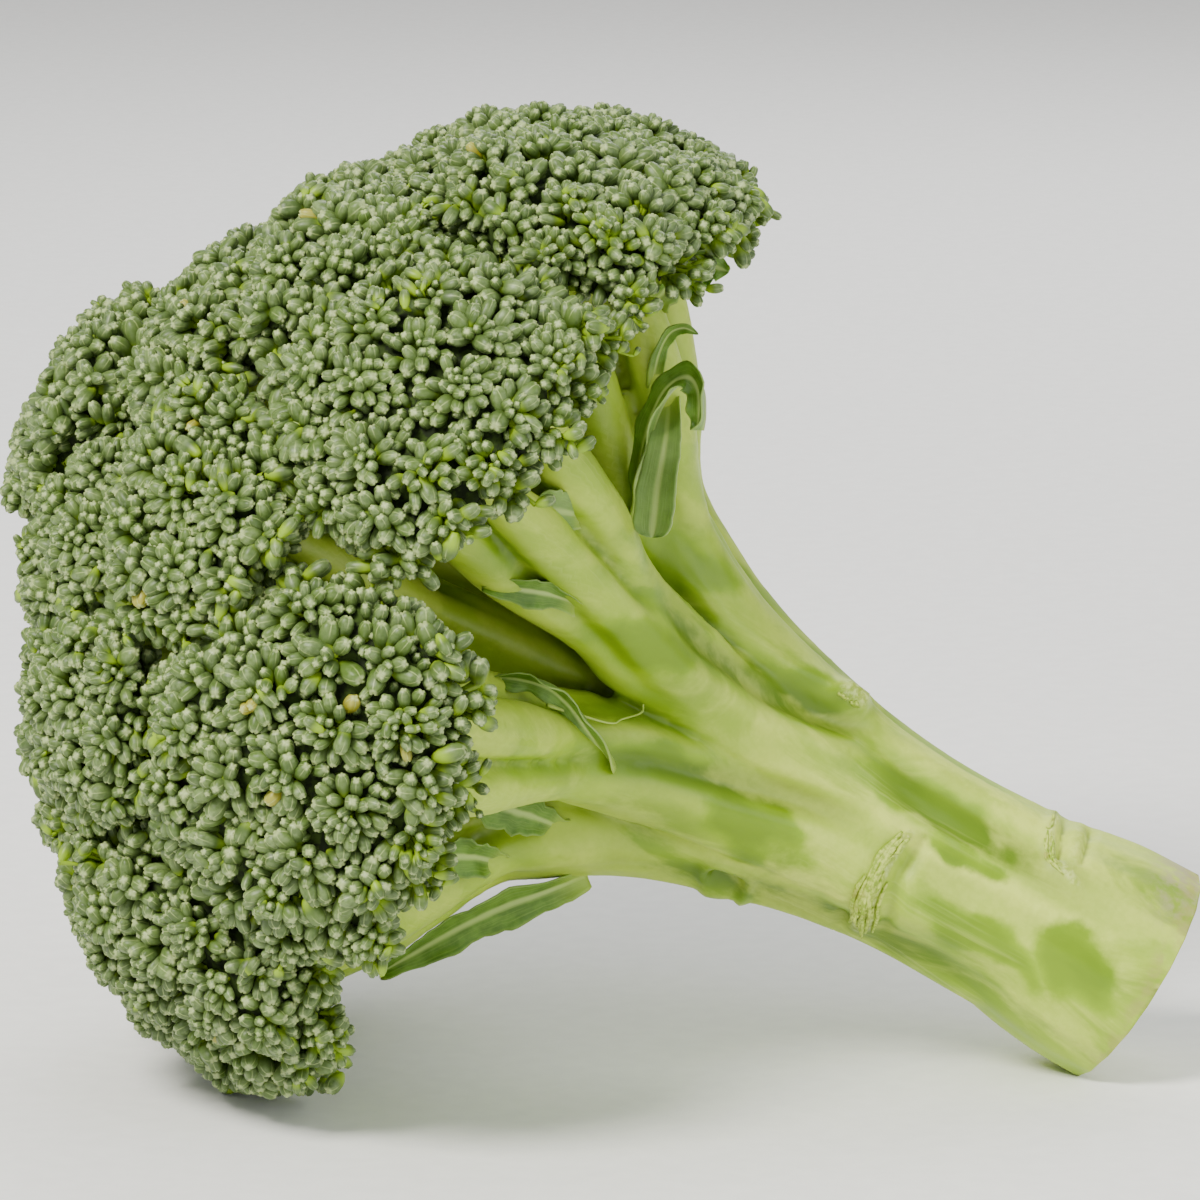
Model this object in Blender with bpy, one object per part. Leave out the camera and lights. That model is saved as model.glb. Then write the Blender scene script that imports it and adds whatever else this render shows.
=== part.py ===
"""A head of broccoli, cut from its plant and laid on its side.

It is made of one fluted stalk that divides into branches, the bud heads (florets) that
the branches carry, and the small leaves that grew at the forks. It is first built
standing, with the cut end of the stalk at height 0, and then laid down on the rim of
its crown and the end of its stalk. Lengths are in metres.
"""

import math

import bmesh
import bpy
from mathutils import Matrix, Vector, noise
from mathutils.bvhtree import BVHTree

MM = 0.001
GAP = 0.3 * MM

# The crown: a dome of florets about one centre on the stalk's axis.
CROWN_CENTRE = Vector((0.0, 0.0, 101 * MM))
CROWN_MID_RADIUS = 68 * MM
FLORET_RISE = 9.5 * MM
FLORET_DEPTH = 13 * MM
FLORET_SPACING = 0.8 * MM
FLORET_BEARINGS = 16
LUMP_SIZE = 17 * MM
LUMP_HEIGHT = 1.3 * MM
# How a floret's skin falls from its middle to its edge, outside and underneath: a
# higher first number keeps it full for longer, a lower second one rounds the edge.
OUTSIDE_FALL = (6.0, 0.4)
INSIDE_FALL = (2.2, 0.5)
# The rings of points of a floret, as shares of the way from its middle to its edge.
OUTSIDE_RINGS = (0.3, 0.6, 0.82, 0.94)
INSIDE_RINGS = (0.88, 0.6, 0.3)
EDGE_STEP = math.radians(0.25)
WIDEST_FLORET = 0.8
EDGE_ROUNDING = 5

# Each floret: azimuth and elevation of its middle in degrees, its relative spread, and
# how proud of the dome it stands in millimetres.
OUTER_RING = [
    (-57, 28, 1.24, 1.5),
    (-105, 20, 1.27, 1.5),
    (-154, 17, 1.20, 1.4),
    (154, 17, 1.22, 1.4),
    (107, 22, 1.20, 1.0),
    (62, 19, 1.18, 1.0),
    (20, 23, 1.10, 1.5),
    (-18, 20, 1.10, 1.5),
]
MIDDLE_RING = [
    (-36, 48, 0.84, -0.5),
    (-87, 47, 0.92, 0.5),
    (-130, 47, 0.82, -1.0),
    (-173, 46, 0.84, -3.0),
    (143, 44, 0.84, -2.0),
    (98, 48, 0.86, -1.0),
    (54, 45, 0.84, -2.0),
    (9, 48, 0.82, -4.0),
]
UPPER_RING = [
    (-43, 65, 0.72, -2.5),
    (29, 64, 0.70, -4.5),
    (101, 66, 0.72, -2.5),
    (173, 64, 0.70, -4.0),
    (-115, 65, 0.72, -2.0),
]
TOP = [(0, 90, 0.84, 2.5)]
FLORETS = OUTER_RING + MIDDLE_RING + UPPER_RING + TOP

# The crown's lower rim: its lowest elevation, and the places where it arches up, as
# (azimuth, half width, rise), all in degrees.
RIM_LOW = -2.0
RIM_ARCHES = [
    (-75, 9, 9), (-52, 34, 13), (-112, 24, 2), (84, 20, 9), (36, 16, 5), (180, 12, 5),
]

# The stalk's core, bottom to top: (height, radius) in millimetres.
CORE = [
    (-10, 17.0), (4, 17.0), (12, 16.2), (20, 14.8), (30, 14.0), (40, 14.6), (50, 15.4),
    (60, 16.2), (70, 16.6), (80, 15.6), (92, 13.2), (105, 10.6), (120, 8.8), (135, 7.4),
]
# How each kind of branch leaves the core: (distance from the axis, height, radius).
OUTER_BRANCH = [
    (8.8, 12, 6.8), (8.0, 32, 6.8), (8.9, 48, 7.4), (11.2, 62, 8.2), (15.8, 76, 8.2),
    (22.6, 88, 7.8), (28.5, 95, 7.4),
]
MIDDLE_BRANCH = [(5, 72, 7.0), (8.5, 88, 6.4), (14, 103, 5.6), (21, 116, 5.0)]
UPPER_BRANCH = [(3, 96, 6.0), (7, 114, 4.8), (13, 130, 4.4)]
# How much higher an outer branch ends for each degree that its floret stands above
# LEVEL_ELEVATION, and the height and span, in millimetres, over which it bends there.
LIFT_PER_DEGREE = 0.18
LEVEL_ELEVATION = 20
BEND_HEIGHT = 60
BEND_SPAN = 40
# The twigs of each kind of branch: how many there are, and the radius of their ends.
OUTER_TWIGS = (4, 4.3 * MM)
MIDDLE_TWIGS = (3, 3.2 * MM)
UPPER_TWIGS = (2, 3.2 * MM)
TWIG_SPREAD = 0.55
TWIG_BURIED = 3.0 * MM
TWIG_TURN = 0.25
# Radii along the forks, as shares of the branch's: the branch past its fork, and a twig
# before the fork and at it. The last is the twig's middle, as a share of its end.
BRANCH_PAST_FORK = 0.75
TWIG_BEFORE_FORK = 0.7
TWIG_AT_FORK = 0.72
TWIG_HALF_WAY = 1.15
CORE_TIP_RADIUS = 5.5 * MM
CORE_STATIONS = 3
CUT_HEIGHT = -1.0 * MM
CUT_TILT = Vector((-0.06, 0.05, 0.0))
CUT_BLOCK = 80 * MM

STALK_VOXEL = 2.0 * MM
STALK_SMOOTHING = 5
STALK_KEPT = 0.052
TUBE_SIDES = 14

# What the lying head rests on: two florets of the outer ring and the stalk's end.
RESTING_FLORETS = (2, 3)
STALK_END = 30 * MM
MOST_ROLL = 0.3
FIRST_TILT = math.radians(30)
TILT_RANGE = (0.2, 0.9)
LEVELLING_ROUNDS = 6
HALVINGS = 40

# The side of the standing head that ends up in front, looked at from a little above.
FRONT = Vector((0.166, -0.98, 0.094)).normalized()
FRONT_ACROSS = Vector((0, 0, 1)).cross(FRONT).normalized()
FRONT_UP = FRONT.cross(FRONT_ACROSS)

# Each leaf: where it is attached on that side (across, up), its course from there
# (across, up, toward the front), its width along the course, how deeply it is cupped,
# and which way its face looks; all in millimetres.
LEAF_THICKNESS = 0.9 * MM
LEAF_SUNK = 1.2 * MM
LEAF_STATIONS = 2
LEAF_CORNERS = 6
WELL_IN_FRONT = 100
LEAVES = {
    "leaf_loop": (
        (26.5, 94), [(0, 0, 0), (1.5, 4, 6), (4.5, 7.4, 10), (9.5, 9.2, 13),
                   (16.5, 8.6, 14), (20.4, 5.8, 14.5), (18.4, 2.7, 14), (15.5, 1.8, 13)],
        [3.6, 4.2, 4.2, 3.8, 3.4, 3.2, 3.0, 1.6], 0.5, (-0.2, 0.7, 0.7),
    ),
    "leaf_tongue": (
        (40, 98), [(0, 0, 0), (-5, -2, 5), (-11, -4, 8), (-15, -5.6, 9), (-17.5, -6.6, 9)],
        [3.4, 4.2, 4.8, 4.4, 2.0], 0.6, (0, 0.3, 1),
    ),
    "leaf_fork": (
        (21.5, 94), [(0, 0, 0), (2, 4, 4), (5, 8, 6), (9, 10.5, 7), (13, 11.5, 7.5)],
        [2.6, 3.2, 2.8, 2.0, 1.0], 0.3, (0.7, 0, 0.7),
    ),
    "leaf_folded": (
        (10.3, 97.5), [(0, 0, 0), (-2.5, 4, 4), (-4.5, 8, 6), (-5.3, 12, 6.5)],
        [2.2, 3.4, 3.4, 1.2], 0.7, (-0.4, 0, 1),
    ),
    "leaf_long": (
        (-9.3, 80), [(0, 0, 0), (2.6, 5, 4), (5, 10, 6), (7, 15, 7), (7.6, 19, 7),
                     (6.6, 22, 6)],
        [3.0, 4.2, 3.4, 3.0, 2.2, 1.0], 0.5, (-0.6, 0.2, 0.7),
    ),
    "leaf_torn": (
        (-20.5, 83), [(0, 0, 0), (-0.5, 4, 4), (-1.2, 8, 6.5), (-1.6, 11.5, 8)],
        [3.4, 5.2, 6.0, 5.2], 0.4, (-0.2, 0, 1),
    ),
    "leaf_ear": (
        (-29, 88), [(0, 0, 0), (-1, 3.5, 5), (-2.5, 6.5, 7.5), (-4.4, 8.6, 8.5)],
        [3.2, 5.0, 5.2, 2.2], 0.8, (-0.2, -0.4, 1),
    ),
    "leaf_long_low": (
        (-25, 76), [(0, 0, 0), (-5, 4, 2), (-10, 8.5, 2.5), (-16, 12.8, 2), (-22, 16.5, 0),
                    (-27, 19.5, -2)],
        [3.0, 5.0, 6.0, 5.6, 4.4, 2.0], 0.8, (-0.4, -0.4, 0.8),
    ),
    "leaf_stub": (
        (23, 101), [(0, 0, 0), (-0.6, 1.4, 5), (-1.6, 3.4, 8.5), (-3.6, 4.8, 10.5)],
        [3.0, 4.4, 5.0, 3.0], 0.6, (0, -0.9, 0.8),
    ),
    "leaf_hook": (
        (41, 101.5), [(0, 0, 0), (4, 1, 4.5), (7, 1, 7), (8.6, -0.4, 8), (8.8, -2.4, 8)],
        [2.4, 2.4, 2.0, 1.6, 0.9], 0.3, (0, -0.5, 0.8),
    ),
    "leaf_ragged": (
        (51, 106.5), [(0, 0, 0), (3, -1, 2), (6, -2.4, 3), (8, -4.6, 4), (8.6, -7.2, 4)],
        [2.6, 4.6, 6.0, 5.0, 2.2], 0.8, (0.2, -0.6, 0.8),
    ),
}


def clear_scene():
    for obj in list(bpy.data.objects):
        bpy.data.objects.remove(obj, do_unlink=True)


def soft_material(name, colour, roughness):
    """An opaque plant surface of one colour."""
    material = bpy.data.materials.new(name)
    material.use_nodes = True
    shader = material.node_tree.nodes["Principled BSDF"]
    shader.inputs["Base Color"].default_value = (*colour, 1.0)
    shader.inputs["Roughness"].default_value = roughness
    shader.inputs["Metallic"].default_value = 0.0
    return material


def add_object(name, mesh_data, material, parent):
    obj = bpy.data.objects.new(name, mesh_data)
    bpy.context.scene.collection.objects.link(obj)
    obj.parent = parent
    if material:
        obj.data.materials.append(material)
    obj.data.shade_smooth()
    return obj


def mesh_from(bm, name):
    bmesh.ops.recalc_face_normals(bm, faces=bm.faces[:])
    mesh_data = bpy.data.meshes.new(name)
    bm.to_mesh(mesh_data)
    bm.free()
    return mesh_data


def hide_cutter(cutter):
    cutter.hide_render = True
    cutter.display_type = "WIRE"


def cut_with(obj, cutter, name):
    modifier = obj.modifiers.new(name, "BOOLEAN")
    modifier.operation = "DIFFERENCE"
    modifier.solver = "EXACT"
    modifier.object = cutter


def on_sphere(azimuth, elevation):
    """The unit vector at an azimuth and an elevation in degrees."""
    a = math.radians(azimuth)
    e = math.radians(elevation)
    return Vector((math.cos(a) * math.cos(e), math.sin(a) * math.cos(e), math.sin(e)))


def evaluated_points(obj):
    graph = bpy.context.evaluated_depsgraph_get()
    evaluated = obj.evaluated_get(graph)
    mesh_data = evaluated.to_mesh()
    points = [vertex.co.copy() for vertex in mesh_data.vertices]
    evaluated.to_mesh_clear()
    return points


# ---- florets -------------------------------------------------------------------------

CENTRES = [on_sphere(floret[0], floret[1]) for floret in FLORETS]


def direction_from(index, angle, bearing):
    """The direction at an angle from a floret's middle, on a bearing round it."""
    middle = CENTRES[index]
    east = Vector((0, 0, 1)).cross(middle)
    if east.length < 0.1:
        east = Vector((1, 0, 0))
    east.normalize()
    north = middle.cross(east)
    sideways = east * math.cos(bearing) + north * math.sin(bearing)
    return middle * math.cos(angle) + sideways * math.sin(angle)


def rim_elevation(azimuth):
    """How high the crown's lower rim is, at an azimuth in degrees."""
    elevation = RIM_LOW
    for middle, half_width, rise in RIM_ARCHES:
        apart = (azimuth - middle + 180) % 360 - 180
        elevation += rise * math.exp(-((apart / half_width) ** 2))
    return elevation


def belongs(index, direction):
    """Whether a direction from the crown's centre falls in a floret's own patch."""
    azimuth = math.degrees(math.atan2(direction.y, direction.x))
    elevation = math.degrees(math.asin(max(-1.0, min(1.0, direction.z))))
    if elevation < rim_elevation(azimuth):
        return False
    own = direction.angle(CENTRES[index]) / FLORETS[index][2]
    others = (
        direction.angle(middle) / FLORETS[other][2]
        for other, middle in enumerate(CENTRES)
        if other != index
    )
    return own < min(others)


def patch_edge(index):
    """The angle from a floret's middle to its edge, on each bearing."""
    reach = []
    for k in range(FLORET_BEARINGS):
        bearing = 2 * math.pi * k / FLORET_BEARINGS
        angle = EDGE_STEP
        while angle < WIDEST_FLORET and belongs(index, direction_from(index, angle, bearing)):
            angle += EDGE_STEP
        reach.append(angle - EDGE_STEP - 0.5 * FLORET_SPACING / CROWN_MID_RADIUS)
    count = len(reach)
    rounded = [
        (reach[k - 1] + EDGE_ROUNDING * reach[k] + reach[(k + 1) % count])
        / (EDGE_ROUNDING + 2)
        for k in range(count)
    ]
    return [min(pair) for pair in zip(reach, rounded)]


EDGES = [patch_edge(index) for index in range(len(FLORETS))]


def floret_point(index, share, k, outside, grow=0.0):
    """A point of a floret's skin. share runs from 0 in its middle to 1 at its edge."""
    edge = EDGES[index][k % FLORET_BEARINGS]
    angle = share * (edge + grow / CROWN_MID_RADIUS)
    direction = direction_from(index, angle, 2 * math.pi * k / FLORET_BEARINGS)
    if outside:
        rise = FLORET_RISE + FLORETS[index][3] * MM
        lump = LUMP_HEIGHT * noise.noise(direction * (CROWN_MID_RADIUS / LUMP_SIZE))
        fall = max(0.0, 1 - share ** OUTSIDE_FALL[0]) ** OUTSIDE_FALL[1]
        radius = CROWN_MID_RADIUS + (rise + lump + grow) * fall
    else:
        fall = max(0.0, 1 - share ** INSIDE_FALL[0]) ** INSIDE_FALL[1]
        radius = CROWN_MID_RADIUS - (FLORET_DEPTH + grow) * fall
    return CROWN_CENTRE + direction * radius


def floret_mesh(index, grow=0.0):
    """A floret: a cushion of buds, domed outside and drawn in to its branch inside."""
    bm = bmesh.new()
    add_floret(bm, index, grow)
    return mesh_from(bm, "floret")


def add_floret(bm, index, grow):
    levels = [(share, True) for share in (*OUTSIDE_RINGS, 1.0)]
    levels += [(share, False) for share in INSIDE_RINGS]
    rings = []
    for share, outside in levels:
        ring = [
            bm.verts.new(floret_point(index, share, k, outside, grow))
            for k in range(FLORET_BEARINGS)
        ]
        rings.append(ring)
    top = bm.verts.new(floret_point(index, 0.0, 0, True, grow))
    bottom = bm.verts.new(floret_point(index, 0.0, 0, False, grow))
    for k in range(FLORET_BEARINGS):
        after = (k + 1) % FLORET_BEARINGS
        bm.faces.new((top, rings[0][k], rings[0][after]))
        bm.faces.new((bottom, rings[-1][after], rings[-1][k]))
        for lower, upper in zip(rings, rings[1:]):
            bm.faces.new((lower[k], upper[k], upper[after], lower[after]))


def make_florets(material, parent):
    florets = []
    for index in range(len(FLORETS)):
        name = f"floret_{index + 1:02d}"
        florets.append(add_object(name, floret_mesh(index), material, parent))
    return florets


def make_floret_clearance(parent):
    """All the florets, grown by the gap that the branches keep to them."""
    bm = bmesh.new()
    for index in range(len(FLORETS)):
        add_floret(bm, index, GAP)
    cutter = add_object("floret_clearance", mesh_from(bm, "clearance"), None, parent)
    hide_cutter(cutter)
    return cutter


# ---- stalk ---------------------------------------------------------------------------


def smooth_path(points, per_span=5):
    """A Catmull-Rom curve through (position, radius) pairs."""
    if len(points) < 3:
        return points
    padded = [points[0]] + points + [points[-1]]
    path = []
    for i in range(1, len(padded) - 2):
        before, start, end, after = padded[i - 1:i + 3]
        for step in range(per_span):
            t = step / per_span
            place = []
            for part in (0, 1):
                a, b, c, d = before[part], start[part], end[part], after[part]
                place.append(
                    0.5 * (
                        2 * b + (c - a) * t
                        + (2 * a - 5 * b + 4 * c - d) * t * t
                        + (3 * b - 3 * c + d - a) * t ** 3
                    )
                )
            path.append(tuple(place))
    path.append(points[-1])
    return path


def add_tube(bm, path):
    """A closed round tube whose radius changes along its path."""
    rings = []
    side = Vector((1.0, 0.0, 0.0))
    for i, (place, radius) in enumerate(path):
        ahead = path[min(i + 1, len(path) - 1)][0]
        behind = path[max(i - 1, 0)][0]
        along = (ahead - behind).normalized()
        side = (side - along * side.dot(along)).normalized()
        other = along.cross(side)
        ring = []
        for k in range(TUBE_SIDES):
            turn = 2 * math.pi * k / TUBE_SIDES
            offset = side * math.cos(turn) + other * math.sin(turn)
            ring.append(bm.verts.new(place + offset * radius))
        rings.append(ring)
    for lower, upper in zip(rings, rings[1:]):
        for k in range(TUBE_SIDES):
            after = (k + 1) % TUBE_SIDES
            bm.faces.new((lower[k], lower[after], upper[after], upper[k]))
    bm.faces.new(list(reversed(rings[0])))
    bm.faces.new(rings[-1])


def branch_points(index, profile):
    """A branch's path up to its fork, turned to its floret's azimuth."""
    azimuth = math.radians(FLORETS[index][0])
    outward = Vector((math.cos(azimuth), math.sin(azimuth), 0.0))
    lift = 0.0
    if index < len(OUTER_RING):
        lift = (FLORETS[index][1] - LEVEL_ELEVATION) * LIFT_PER_DEGREE
    points = []
    for distance, height, radius in profile:
        rise = height + lift * max(0.0, height - BEND_HEIGHT) / BEND_SPAN
        place = outward * distance * MM + Vector((0, 0, rise * MM))
        points.append((place, radius * MM))
    return points


def twig_end(index, share, k):
    """Where a twig ends, a little way inside the underside of its floret."""
    skin = floret_point(index, share, k, False)
    return skin + (skin - CROWN_CENTRE).normalized() * TWIG_BURIED


def add_branch(bm, index, profile, twigs, twig_radius):
    """One branch and the twigs that it forks into under its floret."""
    points = branch_points(index, profile)
    fork, fork_radius = points[-1]
    middle_end = twig_end(index, 0.0, 0)
    points.append(((fork + middle_end) / 2, fork_radius * BRANCH_PAST_FORK))
    points.append((middle_end, twig_radius))
    add_tube(bm, smooth_path(points))
    start = points[-4]
    for twig in range(twigs):
        k = round(FLORET_BEARINGS * (twig + TWIG_TURN) / twigs)
        end = twig_end(index, TWIG_SPREAD, k)
        bend = fork * 0.5 + end * 0.5
        add_tube(
            bm,
            smooth_path([
                (start[0], start[1] * TWIG_BEFORE_FORK),
                (fork, fork_radius * TWIG_AT_FORK),
                (bend, twig_radius * TWIG_HALF_WAY),
                (end, twig_radius),
            ]),
        )


def stalk_body():
    """The core, its branches and their twigs, as overlapping tubes."""
    bm = bmesh.new()
    core = [(Vector((0, 0, height * MM)), radius * MM) for height, radius in CORE]
    core.append((twig_end(len(FLORETS) - 1, 0.0, 0), CORE_TIP_RADIUS))
    add_tube(bm, smooth_path(core, CORE_STATIONS))
    for index in range(len(FLORETS) - 1):
        if index < len(OUTER_RING):
            add_branch(bm, index, OUTER_BRANCH, *OUTER_TWIGS)
        elif index < len(OUTER_RING) + len(MIDDLE_RING):
            add_branch(bm, index, MIDDLE_BRANCH, *MIDDLE_TWIGS)
        else:
            add_branch(bm, index, UPPER_BRANCH, *UPPER_TWIGS)
    return mesh_from(bm, "stalk")


def make_cut_block(parent):
    """The block whose upper face is the slightly slanted cut through the stalk."""
    bm = bmesh.new()
    bmesh.ops.create_cube(bm, size=CUT_BLOCK)
    slope = Vector((-CUT_TILT.x, -CUT_TILT.y, 1.0)).normalized()
    turn = Vector((0, 0, 1)).rotation_difference(slope).to_matrix().to_4x4()
    lower = Matrix.Translation((0, 0, CUT_HEIGHT - CUT_BLOCK / 2))
    bmesh.ops.transform(bm, matrix=turn @ lower, verts=bm.verts[:])
    block = add_object("cut_block", mesh_from(bm, "cut_block"), None, parent)
    hide_cutter(block)
    return block


def make_stalk(material, clearance, parent):
    stalk = add_object("stalk", stalk_body(), material, parent)
    remesh = stalk.modifiers.new("grown_together", "REMESH")
    remesh.mode = "VOXEL"
    remesh.voxel_size = STALK_VOXEL
    smooth = stalk.modifiers.new("soft_forks", "SMOOTH")
    smooth.factor = 0.5
    smooth.iterations = STALK_SMOOTHING
    decimate = stalk.modifiers.new("fewer_faces", "DECIMATE")
    decimate.ratio = STALK_KEPT
    cut_with(stalk, make_cut_block(parent), "cut_end")
    cut_with(stalk, clearance, "floret_seats")
    return stalk


# ---- leaves --------------------------------------------------------------------------


def in_front(across, up, toward):
    """A vector given by its measures across, up and out of the head's front side."""
    return (FRONT_ACROSS * across + FRONT_UP * up + FRONT * toward) * MM


def stalk_surface(stalk):
    """The finished stalk's surface, to find where the leaves are attached."""
    graph = bpy.context.evaluated_depsgraph_get()
    return BVHTree.FromObject(stalk, graph)


def make_stalk_clearance(stalk, parent):
    """The finished stalk, grown by the gap that the leaves keep to it."""
    graph = bpy.context.evaluated_depsgraph_get()
    mesh_data = bpy.data.meshes.new_from_object(stalk.evaluated_get(graph))
    cutter = bpy.data.objects.new("stalk_clearance", mesh_data)
    bpy.context.scene.collection.objects.link(cutter)
    cutter.parent = parent
    grow = cutter.modifiers.new("grow", "DISPLACE")
    grow.strength = GAP
    grow.mid_level = 0.0
    hide_cutter(cutter)
    return cutter


def leaf_sections(foot, course, widths, cup, face):
    """The cross-sections of a leaf: six corners each, three on either face."""
    points = [(foot + in_front(*step), width) for step, width in zip(course, widths)]
    path = smooth_path(points, LEAF_STATIONS)
    facing = in_front(*face).normalized()
    sections = []
    for i, (place, width) in enumerate(path):
        ahead = path[min(i + 1, len(path) - 1)][0]
        behind = path[max(i - 1, 0)][0]
        along = (ahead - behind).normalized()
        across = along.cross(facing).normalized()
        normal = across.cross(along)
        half = across * width * MM / 2
        skin = normal * LEAF_THICKNESS / 2
        sink = normal * cup * MM
        corners = [place - half + skin, place - sink + skin, place + half + skin]
        corners += [place + half - skin, place - sink - skin, place - half - skin]
        sections.append(corners)
    return sections


def leaf_mesh(sections):
    bm = bmesh.new()
    rings = [[bm.verts.new(corner) for corner in corners] for corners in sections]
    for lower, upper in zip(rings, rings[1:]):
        for k in range(LEAF_CORNERS):
            after = (k + 1) % LEAF_CORNERS
            bm.faces.new((lower[k], lower[after], upper[after], upper[k]))
    for ring in (rings[0], rings[-1]):
        bm.faces.new((ring[0], ring[1], ring[4], ring[5]))
        bm.faces.new((ring[1], ring[2], ring[3], ring[4]))
    return mesh_from(bm, "leaf")


def make_leaves(stalk, floret_clearance, material, parent):
    surface = stalk_surface(stalk)
    stalk_clearance = make_stalk_clearance(stalk, parent)
    for name, (foot, course, widths, cup, face) in LEAVES.items():
        outside = in_front(foot[0], foot[1], WELL_IN_FRONT)
        hit = surface.ray_cast(outside, -FRONT)[0]
        if hit is None:
            hit = surface.find_nearest(in_front(foot[0], foot[1], 0))[0]
        root = hit - FRONT * LEAF_SUNK
        mesh_data = leaf_mesh(leaf_sections(root, course, widths, cup, face))
        leaf = add_object(name, mesh_data, material, parent)
        cut_with(leaf, stalk_clearance, "foot")
        cut_with(leaf, floret_clearance, "under_florets")


# ---- laying the head down ------------------------------------------------------------


def resting_matrix(tilt, roll):
    """Turns the standing head by roll about its axis, then lays it down to a tilt."""
    axis = Vector((-math.cos(tilt), 0, math.sin(tilt)))
    upper = Vector((math.sin(tilt), 0, math.cos(tilt)))
    lay = Matrix((upper, Vector((0, 1, 0)), axis)).transposed()
    return (lay @ Matrix.Rotation(roll, 3, "Z")).to_4x4()


def lowest(points, matrix):
    return min((matrix @ point).z for point in points)


def level(first, second, matrix_at, low, high):
    """The angle at which two sets of points reach equally low, found by halving."""
    for _ in range(HALVINGS):
        middle = (low + high) / 2
        matrix = matrix_at(middle)
        if lowest(first, matrix) < lowest(second, matrix):
            low = middle
        else:
            high = middle
    return (low + high) / 2


def lay_head_down(florets, stalk, parent):
    """Rests the head on two florets of its crown and on the end of its stalk."""
    rests = [evaluated_points(florets[index]) for index in RESTING_FLORETS]
    end = [point for point in evaluated_points(stalk) if point.z < STALK_END]
    tilt = FIRST_TILT
    roll = 0.0
    for _ in range(LEVELLING_ROUNDS):
        roll = level(
            rests[0], rests[1], lambda a: resting_matrix(tilt, a), -MOST_ROLL, MOST_ROLL
        )
        tilt = level(
            rests[0] + rests[1], end, lambda a: resting_matrix(a, roll), *TILT_RANGE
        )
    matrix = resting_matrix(tilt, roll)
    everything = [
        matrix @ point
        for obj in parent.children
        if not obj.hide_render
        for point in evaluated_points(obj)
    ]
    lows = [min(point[axis] for point in everything) for axis in range(3)]
    highs = [max(point[axis] for point in everything) for axis in range(3)]
    shift = Vector((-(lows[0] + highs[0]) / 2, -(lows[1] + highs[1]) / 2, -lows[2]))
    parent.matrix_world = Matrix.Translation(shift) @ matrix


def main():
    clear_scene()
    lay_down = bpy.data.objects.new("lay_down", None)
    bpy.context.scene.collection.objects.link(lay_down)
    stalk_green = soft_material("stalk_green", (0.42, 0.55, 0.16), 0.5)
    bud_green = soft_material("bud_green", (0.09, 0.15, 0.06), 0.6)
    leaf_green = soft_material("leaf_green", (0.16, 0.28, 0.07), 0.5)
    florets = make_florets(bud_green, lay_down)
    clearance = make_floret_clearance(lay_down)
    stalk = make_stalk(stalk_green, clearance, lay_down)
    make_leaves(stalk, clearance, leaf_green, lay_down)
    lay_head_down(florets, stalk, lay_down)


main()
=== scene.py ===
"""The looks of a head of broccoli that lies on its side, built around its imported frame.

Everything is shaped standing, on the head's own axes, in millimetres, and then laid
where the frame's solids lie.
"""

import math

import bmesh
import bpy
import numpy as np
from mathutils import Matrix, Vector, kdtree, noise
from mathutils.bvhtree import BVHTree


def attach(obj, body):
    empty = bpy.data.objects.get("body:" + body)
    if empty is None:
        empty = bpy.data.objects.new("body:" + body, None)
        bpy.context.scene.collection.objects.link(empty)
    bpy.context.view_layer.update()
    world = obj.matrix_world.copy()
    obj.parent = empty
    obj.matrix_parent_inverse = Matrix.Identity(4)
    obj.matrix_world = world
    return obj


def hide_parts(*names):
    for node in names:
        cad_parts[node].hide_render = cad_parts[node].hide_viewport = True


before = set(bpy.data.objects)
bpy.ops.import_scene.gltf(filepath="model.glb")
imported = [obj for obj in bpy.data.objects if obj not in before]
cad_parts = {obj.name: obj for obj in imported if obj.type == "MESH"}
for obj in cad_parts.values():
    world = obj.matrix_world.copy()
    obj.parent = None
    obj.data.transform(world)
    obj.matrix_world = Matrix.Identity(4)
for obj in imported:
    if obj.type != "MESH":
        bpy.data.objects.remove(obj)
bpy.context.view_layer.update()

# ---- The stalk -----------------------------------------------------------------------
# The thick stem of the plant, cut across with a knife. It is one piece of crisp flesh
# under a thin skin, and it divides into fluted branches and those into twigs. A
# whitish wax blooms on the skin and is rubbed off in patches.

MM = 0.001
rng = np.random.default_rng(11)
FLORETS = sorted(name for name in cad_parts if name.startswith("floret_"))

# How far above the cut the middle of the crown's dome is, and the angle round the stalk
# at which floret_01 stands.
CROWN_HEIGHT = 101.0
FIRST_AZIMUTH = math.radians(-57)


def floret_poles(name):
    """The two points of a floret's solid, below and above, where its seams meet."""
    bm = bmesh.new()
    bm.from_mesh(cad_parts[name].data)
    bmesh.ops.remove_doubles(bm, verts=bm.verts[:], dist=0.01 * MM)
    poles = sorted(bm.verts, key=lambda vertex: -len(vertex.link_edges))[:2]
    pair = [np.array(vertex.co) for vertex in poles]
    bm.free()
    return pair


def crown_centre(poles):
    """The point that the lines through every floret's poles pass through."""
    total = np.zeros((3, 3))
    aim = np.zeros(3)
    for first, second in poles:
        along = (second - first) / np.linalg.norm(second - first)
        across = np.eye(3) - np.outer(along, along)
        total += across
        aim += across @ first
    return np.linalg.solve(total, aim)


POLES = [floret_poles(name) for name in FLORETS]
CENTRE = crown_centre(POLES)


def outward(pair):
    middle = (pair[0] + pair[1]) / 2 - CENTRE
    return middle / np.linalg.norm(middle)


def head_axes():
    """Rows: across, back and up, the head's own axes as they lie in the frame."""
    up = outward(POLES[-1])
    first = outward(POLES[0])
    first = first - up * (first @ up)
    first /= np.linalg.norm(first)
    aside = np.cross(up, first)
    across = first * math.cos(FIRST_AZIMUTH) - aside * math.sin(FIRST_AZIMUTH)
    return np.array([across, np.cross(up, across), up])


AXES = head_axes()
FOOT = CENTRE - AXES[2] * CROWN_HEIGHT * MM


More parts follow.
